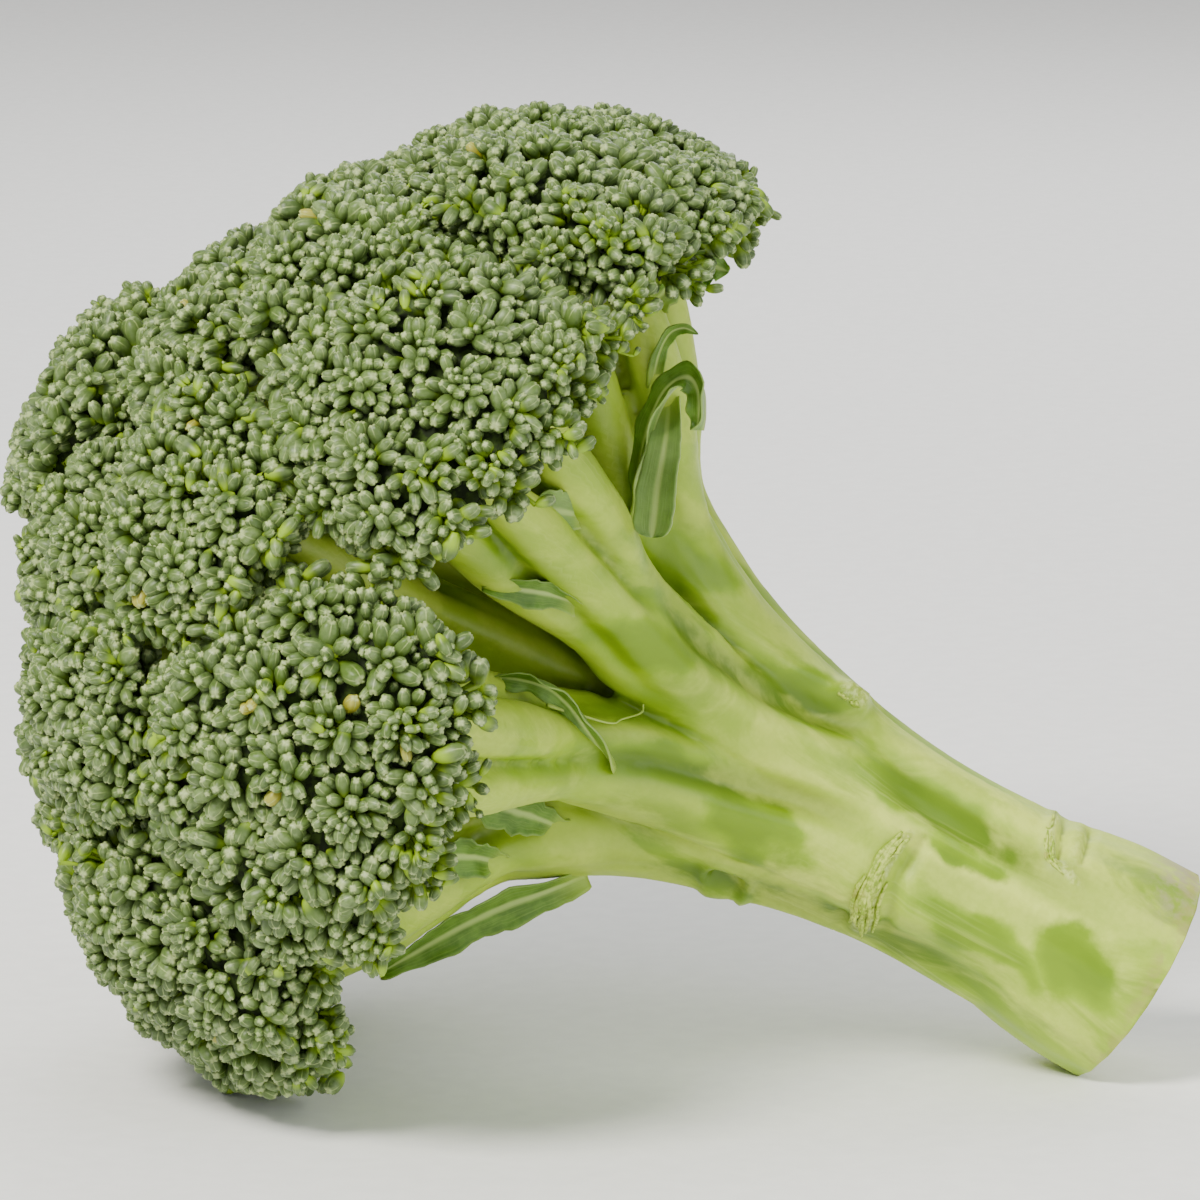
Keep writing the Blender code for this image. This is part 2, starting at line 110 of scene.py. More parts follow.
def laid_down(points):
    """Points in the head's own millimetres, where they lie in the frame."""
    return np.asarray(points) @ AXES * MM + FOOT


def stood_up(points):
    """Points of the frame, in the head's own millimetres."""
    return (np.asarray(points) - FOOT) / MM @ AXES.T


def cad_surface(name):
    """A CAD solid's surface, in the head's own millimetres."""
    bm = bmesh.new()
    bm.from_mesh(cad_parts[name].data)
    bmesh.ops.remove_doubles(bm, verts=bm.verts[:], dist=0.01 * MM)
    points = stood_up([vertex.co for vertex in bm.verts])
    faces = [[vertex.index for vertex in face.verts] for face in bm.faces]
    bm.free()
    return points, faces


# What goes along the stalk's surface, as rows of (across, back, up, radius): its core,
# and how the branches of each ring leave it, as (distance, height, radius).
CORE = [
    (-10, 17.0), (4, 17.0), (12, 16.2), (20, 14.8), (30, 14.0), (40, 14.6), (50, 15.4),
    (60, 16.2), (70, 16.6), (80, 15.6), (92, 13.2), (105, 10.6), (120, 8.8), (135, 7.4),
]
OUTER_BRANCH = [
    (8.8, 12, 6.8), (8.0, 32, 6.8), (8.9, 48, 7.4), (11.2, 62, 8.2), (15.8, 76, 8.2),
    (22.6, 88, 7.8), (28.5, 95, 7.4),
]
MIDDLE_BRANCH = [(5, 72, 7.0), (8.5, 88, 6.4), (14, 103, 5.6), (21, 116, 5.0)]
UPPER_BRANCH = [(3, 96, 6.0), (7, 114, 4.8), (13, 130, 4.4)]
RINGS = [(8, OUTER_BRANCH, 5, 3.9), (16, MIDDLE_BRANCH, 4, 3.0), (21, UPPER_BRANCH, 3, 2.8)]
# A branch's twigs already stand out on it as ribs below its fork: how far from its
# middle they run and how thick they are, as shares of its radius, and its own radius.
RIBS = [(0.28, 0.68, 1.0), (0.40, 0.62, 1.0), (0.50, 0.57, 0.97), (0.66, 0.50, 0.90)]
TWIG_SPREAD = 0.54
TWIG_BURIED = 6.0
TWIG_TIP = 1.9
CORE_TIP = 5.5
# The outer branches of the florets that stand higher than this rise more steeply.
LEVEL_ELEVATION = 20
LIFT_PER_DEGREE = 0.18
LIFT_FROM, LIFT_OVER = 60, 40
CUT_HEIGHT = -1.0
CUT_SLOPE = (-0.06, 0.05)
# How far in from the rim each ring of the cut face lies, as a share of the radius.
CUT_RINGS = (0.985, 0.955, 0.9, 0.83, 0.75, 0.66, 0.56, 0.46, 0.36, 0.26, 0.16, 0.07)
TUBE_SIDES = 20
STALK_VOXEL = 0.8
STALK_SMOOTHING = 6
# How far the ribs are drawn out and the valleys in again after that.
RIDGE_LIMITS = (-1.2, 0.3)


def smooth_path(points, steps):
    """A Catmull-Rom curve through rows of numbers."""
    rows = np.asarray(points, float)
    padded = np.vstack([rows[:1], rows, rows[-1:]])
    path = []
    for a, b, c, d in zip(padded, padded[1:], padded[2:], padded[3:]):
        for t in np.arange(steps) / steps:
            path.append(
                0.5 * (
                    2 * b + (c - a) * t + (2 * a - 5 * b + 4 * c - d) * t * t
                    + (3 * b - 3 * c + d - a) * t ** 3
                )
            )
    path.append(rows[-1])
    return np.array(path)


def ring_faces(rings, sides):
    """The faces between rings of points that follow each other."""
    faces = []
    for i in range(rings - 1):
        for k in range(sides):
            after = (k + 1) % sides
            low, high = i * sides, (i + 1) * sides
            faces.append((low + k, low + after, high + after, high + k))
    return faces


def tube(path, sides):
    """(points, faces) of a closed round tube along rows of (x, y, z, radius)."""
    turn = np.arange(sides) * 2 * math.pi / sides
    side = np.array([1.0, 0.02, 0.03])
    rings = []
    for i, row in enumerate(path):
        along = path[min(i + 1, len(path) - 1), :3] - path[max(i - 1, 0), :3]
        along = along / max(np.linalg.norm(along), 1e-9)
        side = side - along * (side @ along)
        side /= np.linalg.norm(side)
        other = np.cross(along, side)
        ring = np.outer(np.cos(turn), side) + np.outer(np.sin(turn), other)
        rings.append(row[:3] + ring * row[3])
    faces = ring_faces(len(path), sides)
    faces.append(tuple(range(sides))[::-1])
    faces.append(tuple(range((len(path) - 1) * sides, len(path) * sides)))
    return np.vstack(rings), faces


def joined(parts):
    """Several (points, faces) as one."""
    points = []
    faces = []
    count = 0
    for part_points, part_faces in parts:
        points.append(part_points)
        faces += [tuple(index + count for index in face) for face in part_faces]
        count += len(part_points)
    return np.vstack(points), faces


FLORET_TREES = [BVHTree.FromPolygons(*map(list, cad_surface(name))) for name in FLORETS]
MIDDLES = [(outward(pair)) @ AXES.T for pair in POLES]
HUB = Vector((0, 0, CROWN_HEIGHT))
# How finely and how far a floret's edge is looked for, as angles round the dome's middle.
EDGE_STEP = 0.02
WIDEST_FLORET = 0.8


def direction_from(index, angle, bearing):
    """The direction at an angle from a floret's middle, on a bearing round it."""
    middle = MIDDLES[index]
    east = np.cross((0, 0, 1), middle)
    if np.linalg.norm(east) < 0.1:
        east = np.array((1.0, 0, 0))
    east = east / np.linalg.norm(east)
    north = np.cross(middle, east)
    aside = east * math.cos(bearing) + north * math.sin(bearing)
    return middle * math.cos(angle) + aside * math.sin(angle)


def under_floret(index, share, bearing):
    """A point of a floret's underside, and the direction to it from the dome's middle."""
    tree = FLORET_TREES[index]
    edge = 0.0
    while edge < WIDEST_FLORET:
        way = Vector(direction_from(index, edge + EDGE_STEP, bearing))
        if tree.ray_cast(HUB, way)[0] is None:
            break
        edge += EDGE_STEP
    way = Vector(direction_from(index, edge * share, bearing))
    hit = tree.ray_cast(HUB, way)[0]
    return np.array(hit if hit else HUB + way * 60), np.array(way)


def twig_end(index, share, bearing):
    hit, way = under_floret(index, share, bearing)
    return hit + way * TWIG_BURIED


def branch_paths(index, profile, twigs, twig_radius):
    """The paths of one branch and of the twigs that it forks into."""
    middle = MIDDLES[index]
    azimuth = math.atan2(middle[1], middle[0])
    elevation = math.degrees(math.asin(middle[2]))
    lift = (elevation - LEVEL_ELEVATION) * LIFT_PER_DEGREE if index < RINGS[0][0] else 0.0
    points = []
    for distance, height, radius in profile:
        rise = height + lift * max(0.0, height - LIFT_FROM) / LIFT_OVER
        points.append(
            (distance * math.cos(azimuth), distance * math.sin(azimuth), rise, radius)
        )
    points = np.array(points, float)
    fork = points[-1]
    east = np.cross((0, 0, 1), middle)
    east /= max(np.linalg.norm(east), 0.1)
    count = min(len(RIBS), len(points) - 1)
    ribbed = points[-count:]
    steps = np.gradient(points[:, :3], axis=0)[-count:]
    end = np.append(twig_end(index, 0.0, 0.0), TWIG_TIP)
    half = np.append((fork[:3] + end[:3]) / 2, fork[3] * 0.6)
    slim = np.array([row[2] for row in RIBS[-count:]])
    trunk = points.copy()
    trunk[-count:, 3] *= slim
    paths = [smooth_path(np.vstack([trunk, half, end]), 6)]
    for twig in range(twigs):
        bearing = 2 * math.pi * (twig + 0.25 + 0.35 * rng.random()) / twigs
        rows = []
        for (away, thick, _), row, step in zip(RIBS[-count:], ribbed, steps):
            north = np.cross(step / np.linalg.norm(step), east)
            aside = east * math.cos(bearing) + north * math.sin(bearing)
            rows.append((*(row[:3] + aside * away * row[3]), thick * row[3]))
        end = np.append(twig_end(index, TWIG_SPREAD, bearing), TWIG_TIP)
        bend = np.append((np.array(rows[-1][:3]) + end[:3]) / 2, twig_radius * 1.1)
        paths.append(smooth_path([*rows, bend, end], 6))
    return paths


def stalk_paths():
    core = [(0.0, 0.0, height, radius) for height, radius in CORE]
    core.append((*twig_end(len(FLORETS) - 1, 0.0, 0.0), CORE_TIP))
    paths = [[smooth_path(core, 4)]]
    first = 0
    for last, profile, twigs, radius in RINGS:
        for index in range(first, last):
            paths.append(branch_paths(index, profile, twigs, radius))
        first = last
    return paths


PATHS = stalk_paths()


def remeshed(points, faces, voxel, smoothing):
    """The union of closed shapes as one skin of small faces, then smoothed."""
    data = bpy.data.meshes.new("rough")
    data.from_pydata([tuple(point) for point in points], [], faces)
    data.update()
    obj = bpy.data.objects.new("rough", data)
    bpy.context.scene.collection.objects.link(obj)
    remesh = obj.modifiers.new("remesh", "REMESH")
    remesh.mode = "VOXEL"
    remesh.voxel_size = voxel
    smooth = obj.modifiers.new("smooth", "SMOOTH")
    smooth.factor = 0.5
    smooth.iterations = smoothing
    graph = bpy.context.evaluated_depsgraph_get()
    done = bpy.data.meshes.new_from_object(obj.evaluated_get(graph))
    bpy.data.objects.remove(obj)
    bpy.data.meshes.remove(data)
    return done


def cut_across(data):
    """Cuts the stalk off with a plane, leaving it open there."""
    bm = bmesh.new()
    bm.from_mesh(data)
    slope = Vector((-CUT_SLOPE[0], -CUT_SLOPE[1], 1)).normalized()
    bmesh.ops.bisect_plane(
        bm, geom=bm.verts[:] + bm.edges[:] + bm.faces[:], dist=1e-5,
        plane_co=(0, 0, CUT_HEIGHT), plane_no=slope, clear_inner=True,
    )
    bm.to_mesh(data)
    rim = [vertex.index for vertex in bm.verts if vertex.is_boundary]
    bm.free()
    return rim


def points_of(data, kind="co"):
    values = np.empty(len(data.vertices) * 3)
    data.vertices.foreach_get(kind, values)
    return values.reshape(-1, 3)


def edges_of(data):
    values = np.empty(len(data.edges) * 2, int)
    data.edges.foreach_get("vertices", values)
    return values.reshape(-1, 2)


def spread_out(values, edges, rounds):
    """Values at the corners of a mesh, averaged over their neighbours."""
    count = np.bincount(edges.ravel(), minlength=len(values)).astype(float)
    for _ in range(rounds):
        total = np.zeros_like(values)
        np.add.at(total, edges[:, 0], values[edges[:, 1]])
        np.add.at(total, edges[:, 1], values[edges[:, 0]])
        shape = (-1,) + (1,) * (values.ndim - 1)
        values = 0.4 * values + 0.6 * total / np.maximum(count, 1).reshape(shape)
    return values


def noise_at(points, size, seed):
    """Smooth noise from about -1 to 1, with lumps of a size in millimetres."""
    shift = Vector((seed * 17.3, seed * -9.1, seed * 5.7))
    return np.array([noise.noise(Vector(point) / size + shift) for point in points])


def grain_of(points, paths):
    """How far round and along its branch each point is, in millimetres, and how surely
    it belongs to that branch alone."""
    samples = []
    for number, path in enumerate(path for group in paths for path in group):
        steps = np.linalg.norm(np.diff(path[:, :3], axis=0), axis=1)
        lengths = np.concatenate([[0], np.cumsum(steps)])
        dense = np.linspace(0, lengths[-1], max(4, int(lengths[-1] / 2)))
        places = [np.interp(dense, lengths, path[:, k]) for k in range(4)]
        start = path[0, 2]
        for row in zip(*places, dense + start):
            samples.append((*row, number))
    samples = np.array(samples)
    tree = kdtree.KDTree(len(samples))
    for i, row in enumerate(samples):
        tree.insert(row[:3], i)
    tree.balance()
    near = [[row[1] for row in tree.find_n(point, 8)] for point in points]
    found = samples[[row[0] for row in near]]
    sure = (samples[near][:, :, 5] == found[:, 5:6]).mean(1)
    offset = points - found[:, :3]
    azimuth = np.arctan2(offset[:, 1], offset[:, 0])
    return np.column_stack([azimuth * found[:, 3], points[:, 2], found[:, 5]]), sure


# The head's front side, looked at from a little above: its marks and leaves are placed
# by how far across and up that side they are.
FRONT = np.array((0.166, -0.98, 0.094))
FRONT /= np.linalg.norm(FRONT)
FRONT_ACROSS = np.cross((0, 0, 1), FRONT)
FRONT_ACROSS /= np.linalg.norm(FRONT_ACROSS)
FRONT_UP = np.cross(FRONT, FRONT_ACROSS)


def seen_from_front(points):
    return np.column_stack([points @ FRONT_ACROSS, points @ FRONT_UP])


def off_line(places, line):
    """How far each place is from a line of straight pieces, and how far along that is."""
    best = np.full(len(places), 1e9)
    share = np.zeros(len(places))
    line = np.asarray(line, float)
    for i, (start, end) in enumerate(zip(line, line[1:])):
        step = end - start
        t = np.clip((places - start) @ step / (step @ step), 0, 1)
        away = np.linalg.norm(places - start - t[:, None] * step, axis=1)
        closer = away < best
        best[closer] = away[closer]
        share[closer] = (i + t[closer]) / (len(line) - 1)
    return best, share


def bump_line(away, width):
    return np.exp(-((away / width) ** 2))


# The grooves between the branches where they run down the front of the stalk, the places
# there where the wax is rubbed off (across, up, half width, half length), and the
# leaf scars of the other sides (angle round the stalk, height, half width).
GROOVES = [
    ([(17.9, 89), (12.4, 77.6), (10.6, 66), (12, 55), (14.4, 45)], 1.8, 2.0),
    ([(-9.6, 86), (-5.6, 75.5), (-3.4, 64.7), (-1.0, 54), (1.0, 44)], 1.6, 2.0),
    ([(-21, 74), (-16.2, 56), (-13.9, 42), (-12.6, 28), (-12, 12)], 1.3, 2.2),
    ([(8.5, 48), (6.6, 36), (7.0, 24), (6.0, 6)], 0.9, 2.4),
]
RUBBED = [
    (-6, 22, 3.0, 11), (-3, 8, 5.5, 5), (7, 38, 2.6, 13), (-7.5, 59, 4.5, 7),
    (-4, 73, 2.5, 5), (8, 84, 4, 8), (21, 84, 3.5, 9), (14, 62, 2.2, 8), (3, 30, 2.5, 5),
]
SCARS_AROUND = [(62, 28, 7), (148, 47, 6), (138, 18, 6), (110, 66, 5)]


def grooved(places, front):
    """How the grooves lift the skin, and how deep in them or on their lips it lies."""
    lift = np.zeros(len(places))
    deep = np.zeros(len(places))
    for line, depth, width in GROOVES:
        away, share = off_line(places, line)
        fade = np.clip((1 - share) * 3, 0, 1) * np.clip(share * 5, 0.2, 1) * front
        valley = bump_line(away, width) * fade
        lift -= depth * valley
        lift += 0.45 * depth * bump_line(away - 2.1 * width, width) * fade
        deep += valley - 0.5 * bump_line(away - 1.9 * width, 0.7 * width) * fade
    return lift, deep


def rubbed_bare(points, places, front):
    """Where the wax is rubbed off, from 0 to 1, in patches with drifting outlines."""
    rubbed = np.zeros(len(points))
    drift = np.column_stack([noise_at(points, 5.0, 7), noise_at(points, 6.0, 8)])
    drifted = places + drift * (2.4, 5.0)
    for across, up, half, length in RUBBED:
        away = ((drifted[:, 0] - across) / half) ** 2 + ((drifted[:, 1] - up) / length) ** 2
        rubbed = np.maximum(rubbed, np.exp(-away ** 1.2) * front)
    return rubbed


def torn_scar(places, front):
    """The raised, torn scar of a leaf that was snapped off, and a dimple beside it."""
    away, share = off_line(places, [(-12.5, 38.0), (-7.5, 39.6), (-2.5, 39.6), (2.4, 38.6)])
    width = 1.9 - 1.2 * share
    lift = 1.2 * bump_line(away, width) * front * (1 - 0.55 * share)
    scar = bump_line(away, width * 1.1) * front
    for line, height, half in (
        ([(-11, 35.0), (-4, 36.7), (2.4, 36.2)], -1.2, 1.2),
        ([(-10, 42.5), (-3, 43.2), (2, 42)], 0.7, 2.2),
        ([(2.4, 38.6), (4.4, 36), (4.6, 33)], 0.5, 0.8),
    ):
        lift += height * bump_line(off_line(places, line)[0], half) * front
    dimple = bump_line(off_line(places, [(-13.8, 40.4), (-13.2, 41.0)])[0], 0.9) * front
    return lift - 1.2 * dimple, scar, dimple


def healed_scar(places, front):
    """A second, healed scar lower down: a low arc over a swelling with two slits."""
    arc = off_line(places, [(7.4, 14), (8.6, 18.4), (12, 20.6), (15.6, 20.4)])[0]
    swelling = off_line(places, [(9.6, 15.6), (13.6, 16.4)])[0]
    lift = 1.0 * bump_line(arc, 0.9) * front + 0.8 * bump_line(swelling, 2.2) * front
    scar = np.maximum(0.7 * bump_line(arc, 0.9), 0.45 * bump_line(swelling, 2.2)) * front
    slits = np.zeros(len(places))
    for line in ([(9.6, 17.6), (13.8, 18.6)], [(10.6, 14.4), (15, 14.8)]):
        slit = bump_line(off_line(places, line)[0], 0.6) * front
        lift -= 1.3 * slit
        slits = np.maximum(slits, slit)
    return lift, scar, slits


def scar_around(azimuth, low, half):
    """The ways out of the stalk and aside at a scar, and the scar's arc."""
    around = math.radians(azimuth)
    outer = np.array((math.cos(around), math.sin(around), 0))
    aside = np.array((-math.sin(around), math.cos(around), 0))
    arc = [(-half, low), (-half * 0.4, low + 1.6), (half * 0.4, low + 1.7), (half, low)]
    return outer, aside, arc


def scars_around(points, normals):
    """The low, arched scars of the stalk's other sides."""
    lift = np.zeros(len(points))
    scar = np.zeros(len(points))
    for azimuth, low, half in SCARS_AROUND:
        outer, aside, arc = scar_around(azimuth, low, half)
        side = np.clip(normals @ outer * 2, 0, 1)
        local = np.column_stack([points @ aside, points[:, 2]])
        away, share = off_line(local, arc)
        raised = 0.8 * bump_line(away, 0.7 + 0.7 * share) * side
        away, _ = off_line(local, [(-half * 0.6, low - 2), (half * 0.6, low - 2)])
        lift += raised - 0.4 * bump_line(away, 1.5) * side
        scar = np.maximum(scar, raised)
    return lift, scar


def shaped_stalk(points, normals):
    """Moves the skin into grooves, scars and dimples; returns these as attributes too."""
    places = seen_from_front(points)
    front = np.clip(normals @ FRONT * 3, 0, 1)
    lift, deep = grooved(places, front)
    torn_lift, torn, dimple = torn_scar(places, front)
    healed_lift, healed, slits = healed_scar(places, front)
    knob = bump_line(off_line(places, [(15.2, 53.6), (15.4, 56.8)])[0], 1.2)
    away = off_line(places, [(-16.6, 56.6), (-16.8, 59.4)])[0]
    pit = bump_line(away, 1.1)
    other_lift, others = scars_around(points, normals)
    lift += torn_lift + healed_lift + other_lift
    lift += 1.9 * knob + 0.9 * bump_line(away - 2.0, 0.8) - 1.6 * pit
    # Slits, the pit and the dimple stay as green as the skin round them.
    scar = np.where(slits > 0.4, 0.0, np.maximum(torn, healed))
    scar = np.maximum(scar, 0.8 * knob)
    scar = np.where(np.maximum(pit, dimple) > 0.3, 0.0, scar)
    scar = np.maximum(scar, others)
    lift += 0.30 * noise_at(points * (1, 1, 0.35), 7.0, 1)
    lift += 0.10 * noise_at(points * (1, 1, 0.2), 2.2, 2)
    lift += 0.3 * np.clip(scar, 0, 1) * noise_at(points, 0.8, 5)
    rubbed = rubbed_bare(points, places, front)
    return points + normals * lift[:, None], scar, rubbed, deep


def cut_face(rim_points):
    """The knife's cut: rings drawn in from the rim, slightly hollow in the pith."""
    middle = rim_points.mean(0)
    angles = np.arctan2(rim_points[:, 1] - middle[1], rim_points[:, 0] - middle[0])
    order = np.argsort(angles)
    outline = rim_points[order]
    rings = []
    for scale in CUT_RINGS:
        ring = middle + (outline - middle) * scale
        relief = 0.25 * noise_at(ring * (1, 0.25, 1), 1.6, 4)
        relief += 0.3 * np.exp(-((scale - 0.85) / 0.06) ** 2) - 0.5 * (1 - scale ** 2)
        relief *= min(1.0, (1 - scale) / 0.05)
        ring[:, 2] -= relief * 0.6
        rings.append(ring)
    return order, rings, middle


def cut_faces(outer, rings, first):
    """Faces from the rim's points inwards over the rings, numbered from the first."""
    steps = len(outer)
    faces = []
    for number in range(len(rings)):
        inner = np.arange(steps) + first + number * steps
        for k in range(steps):
            after = (k + 1) % steps
            faces.append((int(outer[k]), int(outer[after]), int(inner[after]), int(inner[k])))
        outer = inner
    hub = first + len(rings) * steps
    return faces + [(int(outer[k]), int(outer[(k + 1) % steps]), hub) for k in range(steps)]


def grow_stalk():
    """(points, faces, attributes) of the finished stalk."""
    tubes = [tube(path, TUBE_SIDES) for group in PATHS for path in group]
    data = remeshed(*joined(tubes), STALK_VOXEL, STALK_SMOOTHING)
    rim = np.array(sorted(cut_across(data)))
    data.update()
    points = points_of(data)
    normals = points_of(data, "normal")
    edges = edges_of(data)
    ridge = ((points - spread_out(points, edges, 30)) * normals).sum(1)
    points = points + normals * np.clip(ridge, *RIDGE_LIMITS)[:, None]
    rim_height = points[rim, 2].copy()
    points, scar, rubbed, deep = shaped_stalk(points, normals)
    points[rim, 2] = rim_height
    order, rings, middle = cut_face(points[rim])
    faces = [tuple(face.vertices) for face in data.polygons]
    faces += cut_faces(rim[order], rings, len(points))
    bpy.data.meshes.remove(data)
    grain, sure = grain_of(points, PATHS)
    cut_points = np.vstack([*rings, middle[None] + (0, 0, 0.3)])
    none = np.zeros(len(cut_points))
    # Deep in the grooves the ridge value is lowered, which deepens the painted valley shade there
    # and thins the wax.
    skin = {
        "sure": spread_out(sure, edges, 8), "ridge": ridge - 1.3 * deep, "rubbed": rubbed,
        "scar": scar,
    }
    attributes = {key: np.concatenate([values, none]) for key, values in skin.items()}
    attributes["cut"] = np.concatenate([np.zeros(len(points)), none + 1])
    attributes["grain"] = np.vstack([grain, cut_points])
    points = np.vstack([points, cut_points])
    attributes["place"] = points
    return points, faces, attributes


def add_piece(name, points, faces, material, attributes, nodes):
    """A piece of the head: laid down in its place, flat where it would pass the floor."""
    data = bpy.data.meshes.new(name)
    places = laid_down(points)
    places[:, 2] = np.maximum(places[:, 2], 0.0)
    data.from_pydata([tuple(place) for place in places], [], faces)
    bm = bmesh.new()
    bm.from_mesh(data)
    bmesh.ops.recalc_face_normals(bm, faces=bm.faces[:])
    bm.to_mesh(data)
    bm.free()
    add_attributes(data, attributes)
    return finish_piece(name, data, material, nodes)


def add_attributes(data, attributes):
    for key, values in attributes.items():
        values = np.asarray(values, np.float32)
        kind = "FLOAT" if values.ndim == 1 else "FLOAT_VECTOR"
        field = "value" if values.ndim == 1 else "vector"
        attribute = data.attributes.new(key, kind, "POINT")
        attribute.data.foreach_set(field, values.ravel())


def finish_piece(name, data, material, nodes):
    data.shade_smooth()
    data.materials.append(material)
    obj = bpy.data.objects.new(name, data)
    bpy.context.scene.collection.objects.link(obj)
    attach(obj, "root")
    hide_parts(*nodes)
    return obj


def linear(colour):
    """A colour such as 9CAF50 as linear red, green, blue and alpha."""
    shares = [int(colour[i:i + 2], 16) / 255 for i in (0, 2, 4)]
    return (*[s / 12.92 if s <= 0.04045 else ((s + 0.055) / 1.055) ** 2.4 for s in shares], 1.0)


# Settings and inputs that many of the nodes share: a soft step from one value to
# another, a mix of two colours, and lumps of middling roughness. A pattern's scale is
# one over the size of its lumps in millimetres, because "place" is in millimetres.
SOFT = {"interpolation_type": "SMOOTHSTEP"}
COLOURS = {"data_type": "RGBA"}
LUMPS = {"Detail": 3.0, "Roughness": 0.55}


def empty_material(name):
    material = bpy.data.materials.new(name)
    material.use_nodes = True
    material.node_tree.nodes.clear()
    return material


def add(tree, kind, inputs, output=0, **settings):
    """Adds a node: its settings, then its inputs, each a value, a colour or a link."""
    node = tree.nodes.new("ShaderNode" + kind)
    for key, value in settings.items():
        setattr(node, key, value)
    for key, value in inputs.items():
        if isinstance(value, bpy.types.NodeSocket):
            tree.links.new(value, node.inputs[key])
        else:
            value = linear(value) if isinstance(value, str) else value
            node.inputs[key].default_value = value
    return node.outputs[output] if node.outputs else node


def stalk_flesh(skin, place, ridge, bare):
    """Deeper green where painted shade falls in the valleys and grooves, and deeper green where the
    wax is rubbed off.
    """
    long = add(skin, "VectorMath", {0: place, 1: (1.0, 1.0, 0.45)}, operation="MULTIPLY")
    patches = {"Vector": long, "Scale": 1 / 9.0, "Detail": 4.0, "Roughness": 0.5, "Distortion": 0.4}
    patches = add(skin, "TexNoise", patches)
    patches = add(skin, "MapRange", {0: patches, 1: 0.38, 2: 0.66}, **SOFT)
    green = add(skin, "Mix", {0: patches, 6: "8CAE0C", 7: "739603"}, 2, **COLOURS)
    # Painted shade: the lower the skin lies in a valley or groove, the more it is mixed toward a
    # darker green.
    painted_valley_shade = add(skin, "MapRange", {0: ridge, 1: 0.1, 2: -0.9}, **SOFT)
    green = add(skin, "Mix", {0: painted_valley_shade, 6: green, 7: "5A7A02"}, 2, **COLOURS)
    bare = add(skin, "MapRange", {0: bare, 1: 0.6, 2: 1.2, 4: 0.6}, **SOFT)
    return add(skin, "Mix", {0: bare, 6: green, 7: "648400"}, 2, **COLOURS)


def wax_bloom(skin, place, grain, ridge, bare, sure):
    """Thickest on the ribs, in islands with crisp edges, and worn off in streaks."""
    long = add(skin, "VectorMath", {0: place, 1: (1.0, 1.0, 0.42)}, operation="MULTIPLY")
    islands = {"Vector": long, "Scale": 1 / 13.0, "Detail": 5.0, "Roughness": 0.6, "Distortion": 0.9}
    islands = add(skin, "TexNoise", islands)
    islands = add(skin, "MapRange", {0: islands, 1: 0.40, 2: 0.56, 4: 0.6}, **SOFT)
    on_ribs = add(skin, "MapRange", {0: ridge, 1: -0.2, 2: 0.8, 4: 0.6}, **SOFT)
    wax = add(skin, "Math", {0: islands, 1: on_ribs}, operation="ADD")
    fine_long = add(skin, "VectorMath", {0: grain, 1: (1.0, 0.07, 1.0)}, operation="MULTIPLY")
    streaks = add(skin, "TexNoise", {**LUMPS, "Vector": fine_long, "Scale": 1 / 1.1})
    streaks = add(skin, "MapRange", {0: streaks, 1: 0.75, 2: 0.2, 4: 0.3}, **SOFT)
    worn = add(skin, "Math", {0: streaks, 1: sure}, operation="MULTIPLY")
    left = add(skin, "Math", {0: 1.0, 1: worn}, operation="SUBTRACT")
    wax = add(skin, "Math", {0: wax, 1: left}, operation="MULTIPLY")
    # Young branches high up carry less wax than the stalk.
    height = add(skin, "SeparateXYZ", {0: place}, "Z")
    low = add(skin, "MapRange", {0: height, 1: 95.0, 2: 35.0, 3: 0.55}, **SOFT)
    wax = add(skin, "Math", {0: wax, 1: low}, operation="MULTIPLY")
    covered = add(skin, "MapRange", {0: bare, 1: 0.42, 2: 0.85, 3: 1.0, 4: 0.0}, **SOFT)
    return add(skin, "Math", {0: wax, 1: covered}, operation="MULTIPLY")


def healed_scars(skin, place, colour):
    """Scars are dry and straw-coloured."""
    scar = add(skin, "Attribute", {}, "Fac", attribute_name="scar")
    rough = add(skin, "TexNoise", {**LUMPS, "Vector": place, "Scale": 1 / 0.8})
    rough = add(skin, "MapRange", {0: rough, 1: 0.35, 2: 0.65}, **SOFT)
    straw = add(skin, "Mix", {0: rough, 6: "CEDA84", 7: "8FA32E"}, 2, **COLOURS)
    raised = add(skin, "MapRange", {0: scar, 1: 0.25, 2: 0.8, 4: 0.75}, **SOFT)
    return add(skin, "Mix", {0: raised, 6: colour, 7: straw}, 2, **COLOURS)


def dried_end(skin, place, colour):
    """The skin by the cut has begun to dry, in greyish blotches and a brown lip."""
    height = add(skin, "SeparateXYZ", {0: place}, "Z")
    across = add(skin, "SeparateXYZ", {0: place}, "X")
    low = add(skin, "MapRange", {0: height, 1: 8.0, 2: 0.5}, **SOFT)
    aside = add(skin, "MapRange", {0: across, 1: 9.0, 2: 15.0}, **SOFT)
    dry = add(skin, "Math", {0: low, 1: aside}, operation="MULTIPLY")
    blotches = add(skin, "TexNoise", {**LUMPS, "Vector": place, "Scale": 1 / 2.0})
    blotches = add(skin, "MapRange", {0: blotches, 1: 0.35, 2: 0.65}, **SOFT)
    dry = add(skin, "Math", {0: dry, 1: blotches}, operation="MULTIPLY")
    colour = add(skin, "Mix", {0: dry, 6: colour, 7: "A8A476"}, 2, **COLOURS)
    lip = add(skin, "MapRange", {0: height, 1: 1.6, 2: -0.6, 4: 0.5}, **SOFT)
    stains = add(skin, "TexNoise", {**LUMPS, "Vector": place, "Scale": 1 / 3.0})
    stains = add(skin, "MapRange", {0: stains, 1: 0.4, 2: 0.6}, **SOFT)
    lip = add(skin, "Math", {0: lip, 1: stains}, operation="MULTIPLY")
    return add(skin, "Mix", {0: lip, 6: colour, 7: "A39A5A"}, 2, **COLOURS)


